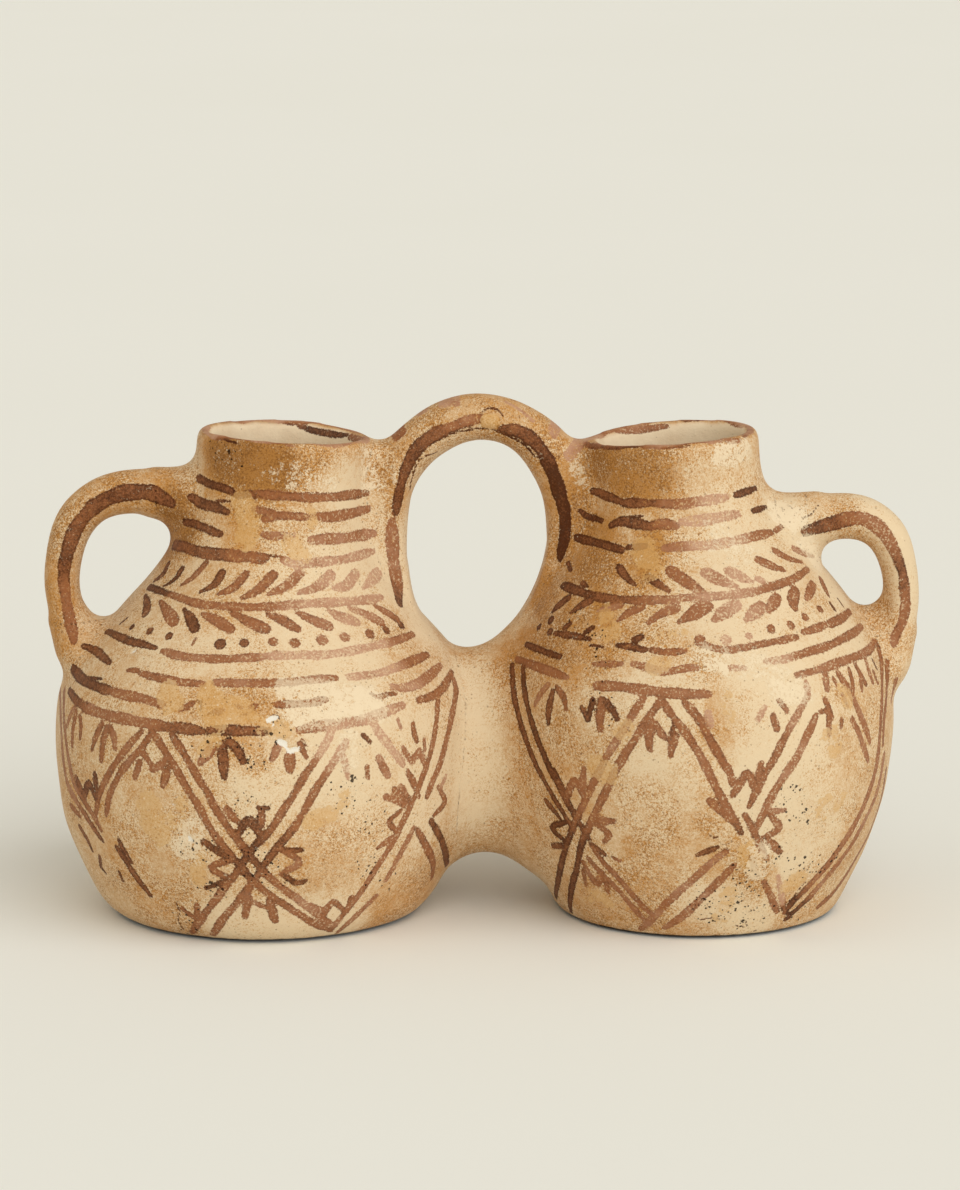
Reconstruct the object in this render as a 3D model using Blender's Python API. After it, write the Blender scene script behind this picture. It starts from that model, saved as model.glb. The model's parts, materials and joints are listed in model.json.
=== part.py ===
"""Double vase in fired clay: two round jars that lean together, luted at the belly by a clay
bridge and at the necks by an arched strap, with a small side handle on each jar.

The pieces are those that a potter makes and lutes together while the clay is leather-hard:
for each jar a floor disc, a belly wall raised on it and a neck collar; then the bridge, the
arched strap, the two side handles and a collar of soft clay worked round each handle root.

Metres, +Z up. The origin is on the table, midway between the two jars. +X runs from the left
jar to the right jar and -Y is the painted front.
"""

import math

import bmesh
import bpy
from mathutils import Vector

MM = 0.001

# Driving dimensions
RIM_HEIGHT = 165.5 * MM
JAR_SPACING = 148.5 * MM
WALL = 5.2 * MM
FLOOR_THICKNESS = 8.0 * MM
FOOT_BEVEL = 1.0 * MM
GAP = 0.3 * MM

# How the jars lean: nothing below LEAN_START, then more and more towards the rim
LEAN_START = 65.0 * MM
LEAN_POWER = 1.4

# How finely round shapes are divided
TURN_STEPS = 48
BELLY_STEPS = 13
NECK_STEPS = 7
FLOOR_STEPS = 3
LIP_STEPS = 5
STRAP_SIDES = 14
STRAP_STEPS = 2
BRIDGE_SIDES = 24
BRIDGE_STEPS = 14

# Where each belly meets its neck, how far the rim leans towards the other jar, and the rim's tilt
LEFT_NECK_JOINT = 122.0 * MM
LEFT_NECK_SHIFT = 7.4 * MM
LEFT_RIM_TILT = math.radians(3.4)
RIGHT_NECK_JOINT = 126.0 * MM
RIGHT_NECK_SHIFT = -9.8 * MM
RIGHT_RIM_TILT = math.radians(-4.0)

# Outer outlines of the jars, as (height, radius) in millimetres
LEFT_OUTLINE = (
    (0, 52.0), (5.5, 58.1), (20, 65.3), (31, 69.5), (44, 71.9), (60, 72.9), (75, 71.8), (87, 66.5),
    (96, 58.5), (104.5, 50.6), (114.5, 42.6), (124, 37.0), (134, 33.2), (146, 30.6), (157, 29.6), (166, 30.3),
)
RIGHT_OUTLINE = (
    (0, 48.0), (6, 51.6), (12, 54.4), (25, 60.0), (42, 65.0), (55, 67.2), (67, 67.9), (80, 67.2), (91, 64.4),
    (104.5, 57.0), (119, 46.0), (128, 39.5), (136, 34.3), (144, 30.8), (152, 29.4), (166, 29.9),
)

# Centre lines of the straps in the plane of the jars' axes, as (x, z) in millimetres
LEFT_HANDLE_PATH = (
    (-82, 142), (-104, 143.7), (-112, 144.7), (-120, 145.4), (-130, 143), (-136.7, 137.6), (-141.4, 129.5),
    (-143.6, 118), (-143.5, 109.5), (-141.5, 100), (-137, 90), (-128, 79),
)
RIGHT_HANDLE_PATH = (
    (78, 130), (102.5, 133.8), (112.5, 135.8), (122.3, 136.6), (131.8, 135.3), (138.4, 130.2), (142, 122.5),
    (143.6, 113), (143.6, 104.5), (142, 95), (138.5, 86), (130, 75),
)
ARCH_PATH = (
    (-45, 98), (-37, 108), (-34, 118), (-34, 128), (-33.4, 138), (-31.6, 148), (-26, 157.3), (-18, 164.8),
    (-9, 169.7), (0, 171.1), (9.2, 169.4), (17.2, 164.7), (23.4, 157.6), (28.4, 148), (30.3, 138),
    (30.4, 128), (32, 117), (39, 106),
)

# Half sizes of the straps, (in the plane of the path, across it), from end to end in millimetres
LEFT_HANDLE_SECTIONS = ((7.2, 9.0), (7.9, 8.8), (6.9, 8.5), (6.0, 8.8), (6.4, 9.5))
RIGHT_HANDLE_SECTIONS = ((7.4, 9.0), (8.2, 8.8), (7.0, 8.5), (6.2, 8.8), (6.6, 9.5))
ARCH_SECTIONS = (
    (8.0, 12.0), (8.6, 11.5), (9.2, 10.5), (8.3, 10.0), (8.4, 10.0),
    (8.3, 10.0), (9.2, 10.5), (8.6, 11.5), (8.0, 12.0),
)

# The collar of soft clay round a handle root: how far it runs out, how far it spreads in the plane
# of the handle and across it, how thick its edge is and how much of it starts inside the wall
LUTE_REACH = 11.0 * MM
LUTE_SPREAD = 2.6 * MM
LUTE_SPREAD_ACROSS = 5.5 * MM
LUTE_EDGE = 0.8 * MM
LUTE_START_SHARE = 0.8
LUTE_STEPS = 6

# The bridge between the bellies. Its top, its underside and its depth are each a low curve of the
# distance from a centre, (centre, value there, curvature, where the curve runs on straight), in millimetres
BRIDGE_TOP = (-5.0, 90.5, 0.040, 12.0)
BRIDGE_UNDERSIDE = (1.0, 18.5, -0.031, 12.0)
BRIDGE_HALF_DEPTH = (1.5, 26.0, 0.050, 10.0)
BRIDGE_REACH = 24.0 * MM

CLAY = (0.56, 0.37, 0.18, 1.0)
SOFT_CLAY = (0.64, 0.46, 0.26, 1.0)
CLAY_ROUGHNESS = 0.7

# Shading and welding
SHARP_ANGLE = math.radians(40)
WELD = 0.01 * MM


def in_metres(points):
    return [tuple(value * MM for value in point) for point in points]


def hermite(points, place):
    """The value at place on the smooth line through (place, value) points."""
    last = len(points) - 1
    index = 0
    while index < last - 1 and place > points[index + 1][0]:
        index += 1

    def slope(i):
        before, after = points[max(i - 1, 0)], points[min(i + 1, last)]
        return (after[1] - before[1]) / (after[0] - before[0])

    (x0, y0), (x1, y1) = points[index], points[index + 1]
    span = x1 - x0
    t = (place - x0) / span
    rise = t * t * (3 - 2 * t)
    start = t * (1 - t) ** 2 * span * slope(index)
    end = -t * t * (1 - t) * span * slope(index + 1)
    return y0 + (y1 - y0) * rise + start + end


def evenly(low, high, steps):
    return [low + (high - low) * i / steps for i in range(steps + 1)]


class Jar:
    """One jar: its outline, where its foot stands and how its neck leans."""

    def __init__(self, side, foot_x, outline, neck_joint, neck_shift, rim_tilt):
        self.side = side
        self.outline = in_metres(outline)
        self.neck_joint = neck_joint
        self.neck_shift = neck_shift
        self.rim_slope = math.tan(rim_tilt)
        self.stand = bpy.data.objects.new(side + "_jar", None)
        self.stand.location.x = foot_x
        bpy.context.scene.collection.objects.link(self.stand)

    def radius(self, height):
        return hermite(self.outline, height)

    def inner_radius(self, height):
        """The wall is WALL thick square to its slope, so it is wider along a level line."""
        step = 1.0 * MM
        slope = (self.radius(height + step) - self.radius(height - step)) / (2 * step)
        return self.radius(height) - WALL * math.hypot(1, slope)

    def leaned(self, point):
        """A point of the upright turned shape, moved to where the leaning clay is."""
        share = max(0.0, (point.z - LEAN_START) / (RIM_HEIGHT - LEAN_START)) ** LEAN_POWER
        shift = self.neck_shift * share
        drop = point.x * self.rim_slope * share
        return Vector((point.x + shift, point.y, point.z - drop))

    def holds(self, x, z):
        """Whether a point of the plane of the axes lies inside the jar's outer surface."""
        share = max(0.0, (z - LEAN_START) / (RIM_HEIGHT - LEAN_START)) ** LEAN_POWER
        return abs(x - self.stand.location.x - self.neck_shift * share) < self.radius(z)


def clear_scene():
    for obj in list(bpy.data.objects):
        bpy.data.objects.remove(obj)


def clay_material(name, colour):
    material = bpy.data.materials.new(name)
    material.use_nodes = True
    shader = material.node_tree.nodes["Principled BSDF"]
    shader.inputs["Base Color"].default_value = colour
    shader.inputs["Roughness"].default_value = CLAY_ROUGHNESS
    shader.inputs["Metallic"].default_value = 0.0
    return material


def finished(bm, name, colour, parent=None):
    """The bmesh as a named object, closed, facing out and smooth."""
    bmesh.ops.remove_doubles(bm, verts=bm.verts, dist=WELD)
    bmesh.ops.recalc_face_normals(bm, faces=bm.faces)
    mesh = bpy.data.meshes.new(name)
    bm.to_mesh(mesh)
    bm.free()
    mesh.shade_smooth()
    mesh.set_sharp_from_angle(angle=SHARP_ANGLE)
    mesh.materials.append(clay_material(name, colour))
    obj = bpy.data.objects.new(name, mesh)
    obj.parent = parent
    bpy.context.scene.collection.objects.link(obj)
    return obj


def as_cutter(obj):
    obj.hide_render = True
    obj.display_type = "WIRE"
    return obj


def cut(obj, *cutters):
    for cutter in cutters:
        modifier = obj.modifiers.new("cut_by_" + cutter.name, "BOOLEAN")
        modifier.operation = "DIFFERENCE"
        modifier.solver = "EXACT"
        modifier.object = cutter
    return obj


def turned(name, jar, outline, closed, colour=CLAY):
    """An outline of (radius, height) points turned round the jar's axis, then leaned with it."""
    bm = bmesh.new()
    verts = [bm.verts.new((radius, 0, height)) for radius, height in outline]
    pairs = zip(verts, verts[1:] + verts[:1]) if closed else zip(verts, verts[1:])
    edges = [bm.edges.new(pair) for pair in pairs]
    whole_turn = {"cent": (0, 0, 0), "axis": (0, 0, 1), "angle": math.tau}
    bmesh.ops.spin(bm, geom=verts + edges, steps=TURN_STEPS, use_merge=True, **whole_turn)
    for vert in bm.verts:
        vert.co = jar.leaned(vert.co)
    return finished(bm, name, colour, jar.stand)


def wall_outline(jar, low, high, steps):
    """The closed outline of a stretch of wall: up the outside, then down the inside."""
    heights = evenly(low, high, steps)
    outside = [(jar.radius(z), z) for z in heights]
    inside = [(jar.inner_radius(z), z) for z in reversed(heights)]
    return outside, inside


def floor_disc(jar):
    """The disc of clay that the jar stands on, with its lower edge softened."""
    edge = jar.radius(0)
    outline = [(0, 0), (edge - FOOT_BEVEL, 0), (jar.radius(FOOT_BEVEL), FOOT_BEVEL)]
    outline += [(jar.radius(z), z) for z in evenly(FOOT_BEVEL, FLOOR_THICKNESS, FLOOR_STEPS)[1:]]
    outline.append((0, FLOOR_THICKNESS))
    return turned(jar.side + "_floor", jar, outline, closed=False)


def belly_wall(jar):
    """The wall from the floor disc up to the joint with the neck, open at both ends."""
    outside, inside = wall_outline(jar, FLOOR_THICKNESS + GAP, jar.neck_joint - GAP / 2, BELLY_STEPS)
    return turned(jar.side + "_belly", jar, outside + inside, closed=True)


def neck_collar(jar):
    """The collar from the shoulder up to its round lip."""
    lip = WALL / 2
    outside, inside = wall_outline(jar, jar.neck_joint + GAP / 2, RIM_HEIGHT - lip, NECK_STEPS)
    middle = jar.radius(RIM_HEIGHT - lip) - lip
    angles = evenly(0, math.pi, LIP_STEPS)[1:-1]
    round_lip = [(middle + lip * math.cos(a), RIM_HEIGHT - lip + lip * math.sin(a)) for a in angles]
    return turned(jar.side + "_neck", jar, outside + round_lip + inside, closed=True)


def envelope(jar):
    """The whole jar as one solid, a gap larger than the clay: what is luted on is cut by it."""
    heights = evenly(0, FLOOR_THICKNESS, FLOOR_STEPS)
    heights += evenly(FLOOR_THICKNESS + GAP, jar.neck_joint - GAP / 2, BELLY_STEPS)
    heights += evenly(jar.neck_joint + GAP / 2, RIM_HEIGHT - WALL / 2, NECK_STEPS)
    outline = [(0, 0)] + [(jar.radius(z) + GAP, z) for z in heights] + [(0, RIM_HEIGHT)]
    return as_cutter(turned(jar.side + "_envelope", jar, outline, closed=False))


def smooth_path(points, steps):
    """Points on a smooth line through the points, each coordinate following the same count."""
    counted = list(enumerate(points))
    places = evenly(0, len(points) - 1, steps * (len(points) - 1))
    along = [[(i, point[axis]) for i, point in counted] for axis in (0, 1)]
    return [Vector((hermite(along[0], t), 0, hermite(along[1], t))) for t in places]


def loft(name, rings, colour):
    """A closed solid through rings of points, with flat ends."""
    bm = bmesh.new()
    loops = [[bm.verts.new(point) for point in ring] for ring in rings]
    count = len(loops[0])
    for lower, upper in zip(loops, loops[1:]):
        for i in range(count):
            j = (i + 1) % count
            bm.faces.new((lower[i], lower[j], upper[j], upper[i]))
    for end in (loops[0], loops[-1]):
        bm.faces.new(end)
    return finished(bm, name, colour)


def strap_rings(path, half_sizes):
    """Oval rings square to a path in the XZ plane, half_sizes being (in the plane, across) at each point."""
    rings = []
    for i, point in enumerate(path):
        along = (path[min(i + 1, len(path) - 1)] - path[max(i - 1, 0)]).normalized()
        outwards = Vector((-along.z, 0, along.x))
        thick, wide = half_sizes[i]
        across = Vector((0, wide, 0))
        angles = (math.tau * k / STRAP_SIDES for k in range(STRAP_SIDES))
        rings.append([point + outwards * thick * math.cos(a) + across * math.sin(a) for a in angles])
    return rings


def section_sizes(sections, count):
    """The half sizes of a strap at count places, drawn smoothly through the given sections."""
    places = evenly(0, len(sections) - 1, count - 1)
    along = [list(enumerate(size[axis] * MM for size in sections)) for axis in (0, 1)]
    return [tuple(hermite(line, t) for line in along) for t in places]


def strap(name, path_points, sections, grown=0.0):
    """An oval strap along a path; grown makes it larger all round."""
    path = smooth_path(in_metres(path_points), STRAP_STEPS)
    sizes = [(thick + grown, wide + grown) for thick, wide in section_sizes(sections, len(path))]
    return loft(name, strap_rings(path, sizes), CLAY)


def root_collar(name, jar, path_points, sections, from_end):
    """The soft clay worked round one root of a handle: a flare that dies away along the strap."""
    path = smooth_path(in_metres(path_points), STRAP_STEPS * 4)
    sizes = section_sizes(sections, len(path))
    if from_end:
        path.reverse()
        sizes.reverse()
    leaves = next(i for i, point in enumerate(path) if not jar.holds(point.x, point.z))
    run = 0.0
    last = leaves
    while run < LUTE_REACH:
        run += (path[last + 1] - path[last]).length
        last += 1
    first = max(2, leaves - round((last - leaves) * LUTE_START_SHARE))
    kept = [round(place) for place in evenly(first, last, LUTE_STEPS)]
    ring_sizes = []
    for i in kept:
        left = min(1.0, max(0.0, (last - i) / (last - leaves)))
        edge = GAP + LUTE_EDGE
        thick = sizes[i][0] + edge + (LUTE_SPREAD - LUTE_EDGE) * left * left
        wide = sizes[i][1] + edge + (LUTE_SPREAD_ACROSS - LUTE_EDGE) * left * left
        ring_sizes.append((thick, wide))
    return loft(name, strap_rings([path[i] for i in kept], ring_sizes), SOFT_CLAY)


def side_handle(jar, path_points, sections, cutter):
    """A side handle with its two root collars, all cut to sit on the jar."""
    name = jar.side + "_handle"
    cut(strap(name, path_points, sections), cutter)
    grown = as_cutter(strap(name + "_grown", path_points, sections, GAP))
    for end, from_end in (("upper", False), ("lower", True)):
        collar = root_collar(f"{name}_{end}_lute", jar, path_points, sections, from_end)
        cut(collar, grown, cutter)


def flared(curve, x):
    """The height of a low curve at x: a parabola that runs on straight past its last figure."""
    centre, value, bend, limit = curve
    away = abs(x / MM - centre)
    near = min(away, limit)
    return (value + bend * near * near + 2 * bend * limit * (away - near)) * MM


def bridge(cutters):
    """The web of clay between the bellies: oval across, flaring up, down and out to each jar."""
    rings = []
    for x in evenly(-BRIDGE_REACH, BRIDGE_REACH, BRIDGE_STEPS):
        top, low, depth = (flared(curve, x) for curve in (BRIDGE_TOP, BRIDGE_UNDERSIDE, BRIDGE_HALF_DEPTH))
        middle, half = (top + low) / 2, (top - low) / 2
        angles = (math.tau * k / BRIDGE_SIDES for k in range(BRIDGE_SIDES))
        rings.append([(x, depth * math.cos(a), middle + half * math.sin(a)) for a in angles])
    return cut(loft("bridge", rings, CLAY), *cutters)


def build():
    clear_scene()
    half = JAR_SPACING / 2
    left = Jar("left", -half, LEFT_OUTLINE, LEFT_NECK_JOINT, LEFT_NECK_SHIFT, LEFT_RIM_TILT)
    right = Jar("right", half, RIGHT_OUTLINE, RIGHT_NECK_JOINT, RIGHT_NECK_SHIFT, RIGHT_RIM_TILT)
    for jar in (left, right):
        floor_disc(jar)
        belly_wall(jar)
        neck_collar(jar)
    left_cutter, right_cutter = envelope(left), envelope(right)
    bridge((left_cutter, right_cutter))
    cut(strap("arch", ARCH_PATH, ARCH_SECTIONS), left_cutter, right_cutter)
    side_handle(left, LEFT_HANDLE_PATH, LEFT_HANDLE_SECTIONS, left_cutter)
    side_handle(right, RIGHT_HANDLE_PATH, RIGHT_HANDLE_SECTIONS, right_cutter)


build()
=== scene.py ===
# %% [markdown]
# # A painted double vase
# The real object is two hand-built clay jars that lean against each other.
# A saddle of clay joins the bellies, a strap arches over the gap, and each jar has a loop handle.
# All of it is painted with brown slip in bands, leaves, dots and a double-line lattice.
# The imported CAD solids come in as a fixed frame, and every visible piece is made from their shapes.

import json
import math

import bmesh
import bpy
import numpy as np
import openvdb as vdb
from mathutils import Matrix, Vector
from mathutils.bvhtree import BVHTree

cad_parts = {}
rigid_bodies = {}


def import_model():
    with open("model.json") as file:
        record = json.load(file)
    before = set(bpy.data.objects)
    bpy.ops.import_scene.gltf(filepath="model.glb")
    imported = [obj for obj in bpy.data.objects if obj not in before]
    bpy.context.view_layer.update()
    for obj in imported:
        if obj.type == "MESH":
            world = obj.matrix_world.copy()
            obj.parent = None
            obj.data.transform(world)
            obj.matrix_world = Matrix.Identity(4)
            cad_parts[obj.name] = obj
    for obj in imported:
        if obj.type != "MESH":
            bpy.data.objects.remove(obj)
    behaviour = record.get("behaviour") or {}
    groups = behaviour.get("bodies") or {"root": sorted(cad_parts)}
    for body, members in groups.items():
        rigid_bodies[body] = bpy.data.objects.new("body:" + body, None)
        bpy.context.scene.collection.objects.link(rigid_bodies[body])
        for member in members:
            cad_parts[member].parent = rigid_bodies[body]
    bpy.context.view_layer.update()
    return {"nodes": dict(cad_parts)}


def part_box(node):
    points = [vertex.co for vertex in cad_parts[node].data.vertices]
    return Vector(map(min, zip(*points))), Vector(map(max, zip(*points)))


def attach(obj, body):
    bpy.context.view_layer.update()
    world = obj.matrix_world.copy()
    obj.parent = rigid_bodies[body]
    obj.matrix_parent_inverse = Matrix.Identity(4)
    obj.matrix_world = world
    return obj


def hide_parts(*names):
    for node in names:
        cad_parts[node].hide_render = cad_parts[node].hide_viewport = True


for leftover in list(bpy.data.objects):
    bpy.data.objects.remove(leftover)
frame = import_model()
MM = 0.001


def placed(name, data):
    """A new object in the scene that shows some data."""
    made = bpy.data.objects.new(name, data)
    bpy.context.collection.objects.link(made)
    return made


def mesh_from(name, shape):
    """A new mesh that takes over a bmesh shape."""
    mesh = bpy.data.meshes.new(name)
    shape.to_mesh(mesh)
    shape.free()
    return mesh


# %% [markdown]
# ## The camera
# The camera comes first, because the brushwork is placed by looking through it.
# Its height, distance and pitch were found by laying the solids' outline over the photograph.
# A long lens far away gives the flat, calm perspective of a catalogue picture.

# %% Set up the camera
PHOTO_WIDTH = 960
PHOTO_HEIGHT = 1190
SENSOR_HEIGHT = 36.0
LENS = 154.0
CAMERA_PLACE = (-0.0005, -1.711, 0.458)
CAMERA_PITCH = math.radians(90 - 11.53)

camera_data = bpy.data.cameras.new("photo_camera")
camera_data.sensor_fit = "VERTICAL"
camera_data.sensor_height = SENSOR_HEIGHT
camera_data.lens = LENS
camera = placed("photo_camera", camera_data)
camera.location = CAMERA_PLACE
camera.rotation_euler = (CAMERA_PITCH, 0, 0)
bpy.context.scene.camera = camera

eye = Vector(CAMERA_PLACE)
eye_turn = camera.rotation_euler.to_matrix()
FOCAL_PIXELS = LENS / SENSOR_HEIGHT * PHOTO_HEIGHT


def sight_line(x, y):
    """The direction from the eye through one pixel of the photograph."""
    across = x - PHOTO_WIDTH / 2
    up = PHOTO_HEIGHT / 2 - y
    return (eye_turn @ Vector((across, up, -FOCAL_PIXELS))).normalized()


print("focal length in pixels", round(FOCAL_PIXELS))

# %% [markdown]
# ## One skin of clay
# On the real vase the potter smears wet clay over every joint, so the surface runs on without a seam.
# The solids meet with small gaps and sharp corners, so they cannot be shown as they are.
# A closing does what the potter's thumb did: grow the solids by a thumb's radius, then shrink them back.
# Gaps and corners fill with soft clay, and every other surface comes back to where it was.
# Two strips of clay go in first, because the photograph shows fuller corners at the arch's feet.
# OpenVDB does both steps on a signed distance grid, which is quick and always gives a closed mesh.

# %% Round the solids
WELD_DISTANCE = 0.002 * MM
FLAT_ENOUGH = math.radians(6)
SQUARE_ENOUGH = math.radians(70)
SHARP_TURN = math.radians(35)
ROUNDING_LEVELS = 2
LUTES = [name for name in frame["nodes"] if name.endswith("_lute")]


def rounded_shape(name):
    """Points and triangles of one CAD solid, with its flat facets rounded off."""
    shape = bmesh.new()
    shape.from_mesh(frame["nodes"][name].data)
    bmesh.ops.remove_doubles(shape, verts=shape.verts, dist=WELD_DISTANCE)
    bmesh.ops.join_triangles(
        shape,
        faces=shape.faces,
        angle_face_threshold=FLAT_ENOUGH,
        angle_shape_threshold=SQUARE_ENOUGH,
    )
    crease = shape.edges.layers.float.new("crease_edge")
    for edge in shape.edges:
        if edge.calc_face_angle(0) > SHARP_TURN:
            edge[crease] = 1
    carrier = placed("rounded_" + name, mesh_from("rounded_" + name, shape))
    if name not in LUTES:
        rounding = carrier.modifiers.new("rounding", "SUBSURF")
        rounding.levels = ROUNDING_LEVELS
        rounding.render_levels = ROUNDING_LEVELS
    finished = carrier.evaluated_get(bpy.context.evaluated_depsgraph_get()).to_mesh()
    finished.calc_loop_triangles()
    points = np.empty(len(finished.vertices) * 3, np.float32)
    finished.vertices.foreach_get("co", points)
    corners = np.empty(len(finished.loop_triangles) * 3, np.int32)
    finished.loop_triangles.foreach_get("vertices", corners)
    bpy.data.objects.remove(carrier)
    return points.reshape(-1, 3), corners.reshape(-1, 3)


shapes = {name: rounded_shape(name) for name in frame["nodes"]}
print("rounded", len(shapes), "solids,", sum(len(t) for _, t in shapes.values()), "triangles")


# %% Close the solids into one skin
VOXEL = 0.9 * MM
THUMB_RADIUS = 6.0 * MM
GRID_MARGIN = 3
STRIP_DEPTH = 7.0 * MM
STRIP_BITE = 14
RIGHT_CORNER = [(549, 515), (547, 540), (543, 562), (537, 582), (529, 600), (517, 620)]
LEFT_CORNER = [(404, 540), (408, 565), (411, 585), (415, 600), (421, 614), (431, 628)]
GRID = vdb.createLinearTransform(voxelSize=VOXEL)


def joined(names):
    """Points and triangles of several solids in one list."""
    points = []
    corners = []
    start = 0
    for name in names:
        points.append(shapes[name][0])
        corners.append(shapes[name][1] + start)
        start += len(shapes[name][0])
    return np.vstack(points), np.vstack(corners)


def offset_surface(points, amount, **faces):
    """The surface that lies a given distance outside a closed shape, as points and quads."""
    reach = abs(amount) / VOXEL + GRID_MARGIN
    grid = vdb.FloatGrid.createLevelSetFromPolygons(points, transform=GRID, halfWidth=reach, **faces)
    surface, quads = grid.convertToQuads(isovalue=amount)
    return np.asarray(surface, np.float64), np.asarray(quads, np.int64)[:, ::-1]


def strip_of_clay(marks, bite):
    """A strip on the middle plane: its edge runs through some pixels, its root lies in the clay."""
    points = []
    for shift, depth in ((0, -STRIP_DEPTH), (0, STRIP_DEPTH), (bite, STRIP_DEPTH), (bite, -STRIP_DEPTH)):
        for x, y in marks:
            ray = sight_line(x + shift, y)
            place = eye + ray * (-eye.y / ray.y)
            points.append((place.x, depth, place.z))
    count = len(marks)
    corners = []
    for side in range(4):
        start = side * count
        other = (side + 1) % 4 * count
        for k in range(count - 1):
            corners.append((start + k, start + k + 1, other + k + 1))
            corners.append((start + k, other + k + 1, other + k))
    for k in (0, count - 1):
        corners.append((k, count + k, 2 * count + k))
        corners.append((k, 2 * count + k, 3 * count + k))
    return np.array(points, np.float32), np.array(corners, np.int32)


shapes["right_corner"] = strip_of_clay(RIGHT_CORNER, STRIP_BITE)
shapes["left_corner"] = strip_of_clay(LEFT_CORNER, -STRIP_BITE)
points, corners = joined(shapes)
grown, grown_quads = offset_surface(points, THUMB_RADIUS, triangles=corners)
skin_points, skin_quads = offset_surface(grown, -THUMB_RADIUS, quads=grown_quads)
print("skin has", len(skin_points), "points and", len(skin_quads), "quads")

# %% [markdown]
# ## The hand of the potter
# The grid leaves tiny steps, and a hand-built pot is never quite round.
# A few passes of neighbour averaging take out the steps and soften the edges of the smeared clay.
# Then slow waves along the normals give the slight dents that fingers leave in a coil-built wall.
# The rims are not quite level either: in the photograph their front edges stand a little higher.

# %% Smooth and dent the skin
SMOOTHING_PASSES = 12
DENT_HEIGHT = 0.16 * MM
DENT_WAVES = 14
DENT_SPAN = (16, 46)
FULL_TURN = 6.28
FOOT_FLAT = 4.0 * MM
# Where each jar's axis meets the ground along X, and how far its mouth leans from there.
JAR_AXES = {"left": (-74.25 * MM, 7.4 * MM), "right": (74.25 * MM, -9.8 * MM)}
RIM_LIFT = {"left": 2.0 * MM, "right": 1.2 * MM}
RIM_DEPTH = 16 * MM
NECK_RADIUS = 29 * MM
RIM_REACH = NECK_RADIUS + 2 * MM
RIM_FADE = 6 * MM
chance = np.random.default_rng(7)


def edge_pairs(quads):
    """Every edge of a quad mesh once, as two columns of point numbers."""
    sides = np.vstack([quads[:, [k, (k + 1) % 4]] for k in range(4)])
    sides.sort(axis=1)
    return np.unique(sides, axis=0)


def averaged(points, pairs, passes):
    """The points after several passes of moving halfway to their neighbours' mean."""
    count = np.bincount(pairs.ravel(), minlength=len(points))
    for _ in range(passes):
        total = np.empty_like(points)
        for axis in range(3):
            total[:, axis] = np.bincount(pairs[:, 0], points[pairs[:, 1], axis], len(points))
            total[:, axis] += np.bincount(pairs[:, 1], points[pairs[:, 0], axis], len(points))
        points = 0.5 * points + 0.5 * total / count[:, None]
    return points


def quad_normals(points, quads):
    """A unit normal at each point, from the quads around it."""
    across = points[quads[:, 2]] - points[quads[:, 0]]
    along = points[quads[:, 3]] - points[quads[:, 1]]
    flat = np.cross(across, along)
    normals = np.zeros_like(points)
    for k in range(4):
        for axis in range(3):
            normals[:, axis] += np.bincount(quads[:, k], flat[:, axis], len(points))
    return normals / np.linalg.norm(normals, axis=1)[:, None]


flat_foot = skin_points[:, 2].min()
skin_points = averaged(skin_points, edge_pairs(skin_quads), SMOOTHING_PASSES)
skin_normals = quad_normals(skin_points, skin_quads)

dents = np.zeros(len(skin_points))
for _ in range(DENT_WAVES):
    heading = chance.normal(size=3)
    heading /= np.linalg.norm(heading)
    wavelength = chance.uniform(*DENT_SPAN) * MM
    dents += np.sin(skin_points @ heading * (2 * math.pi / wavelength) + chance.uniform(0, FULL_TURN))
for side, (foot, lean) in JAR_AXES.items():
    aside = np.abs(skin_points[:, 0] - foot - lean)
    top = skin_points[aside < RIM_REACH, 2].max()
    near_top = np.clip(1 - (top - skin_points[:, 2]) / RIM_DEPTH, 0, 1)
    in_front = np.clip(-skin_points[:, 1] / NECK_RADIUS, 0, 1)
    within = np.clip((RIM_REACH - aside) / RIM_FADE, 0, 1)
    skin_points[:, 2] += RIM_LIFT[side] * near_top * in_front * within
lifted = np.clip((skin_points[:, 2] - flat_foot) / FOOT_FLAT, 0, 1)
skin_points += skin_normals * (dents * DENT_HEIGHT * lifted / math.sqrt(DENT_WAVES / 2))[:, None]
skin_points[:, 2] = np.maximum(skin_points[:, 2], flat_foot)
deepest = float(np.abs(dents).max()) * DENT_HEIGHT / math.sqrt(DENT_WAVES / 2)
print("dents up to", round(deepest / MM, 2), "mm")

# %% [markdown]
# ## Brushwork
# The pattern is a traditional one: bands round the neck, two rows of leaves, a row of dots, more bands,
# and a double-line lattice with a fringed cross wherever two pairs of lines meet.
# A picture on the surface is not wanted, so each touch of the brush is written down as a short path.
# A line of text below is one touch: its width in mm, the slip it carries, then the pixels it passes.
# The slip is k for burnt, d for dark, m for middle and f for faint, as fire and age have left it.
# Looking through the camera carries each path onto the clay, so it sits on the surface from any side.
# The back of the vase is not in the photograph, and gets the same traditional scheme mirrored.

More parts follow.
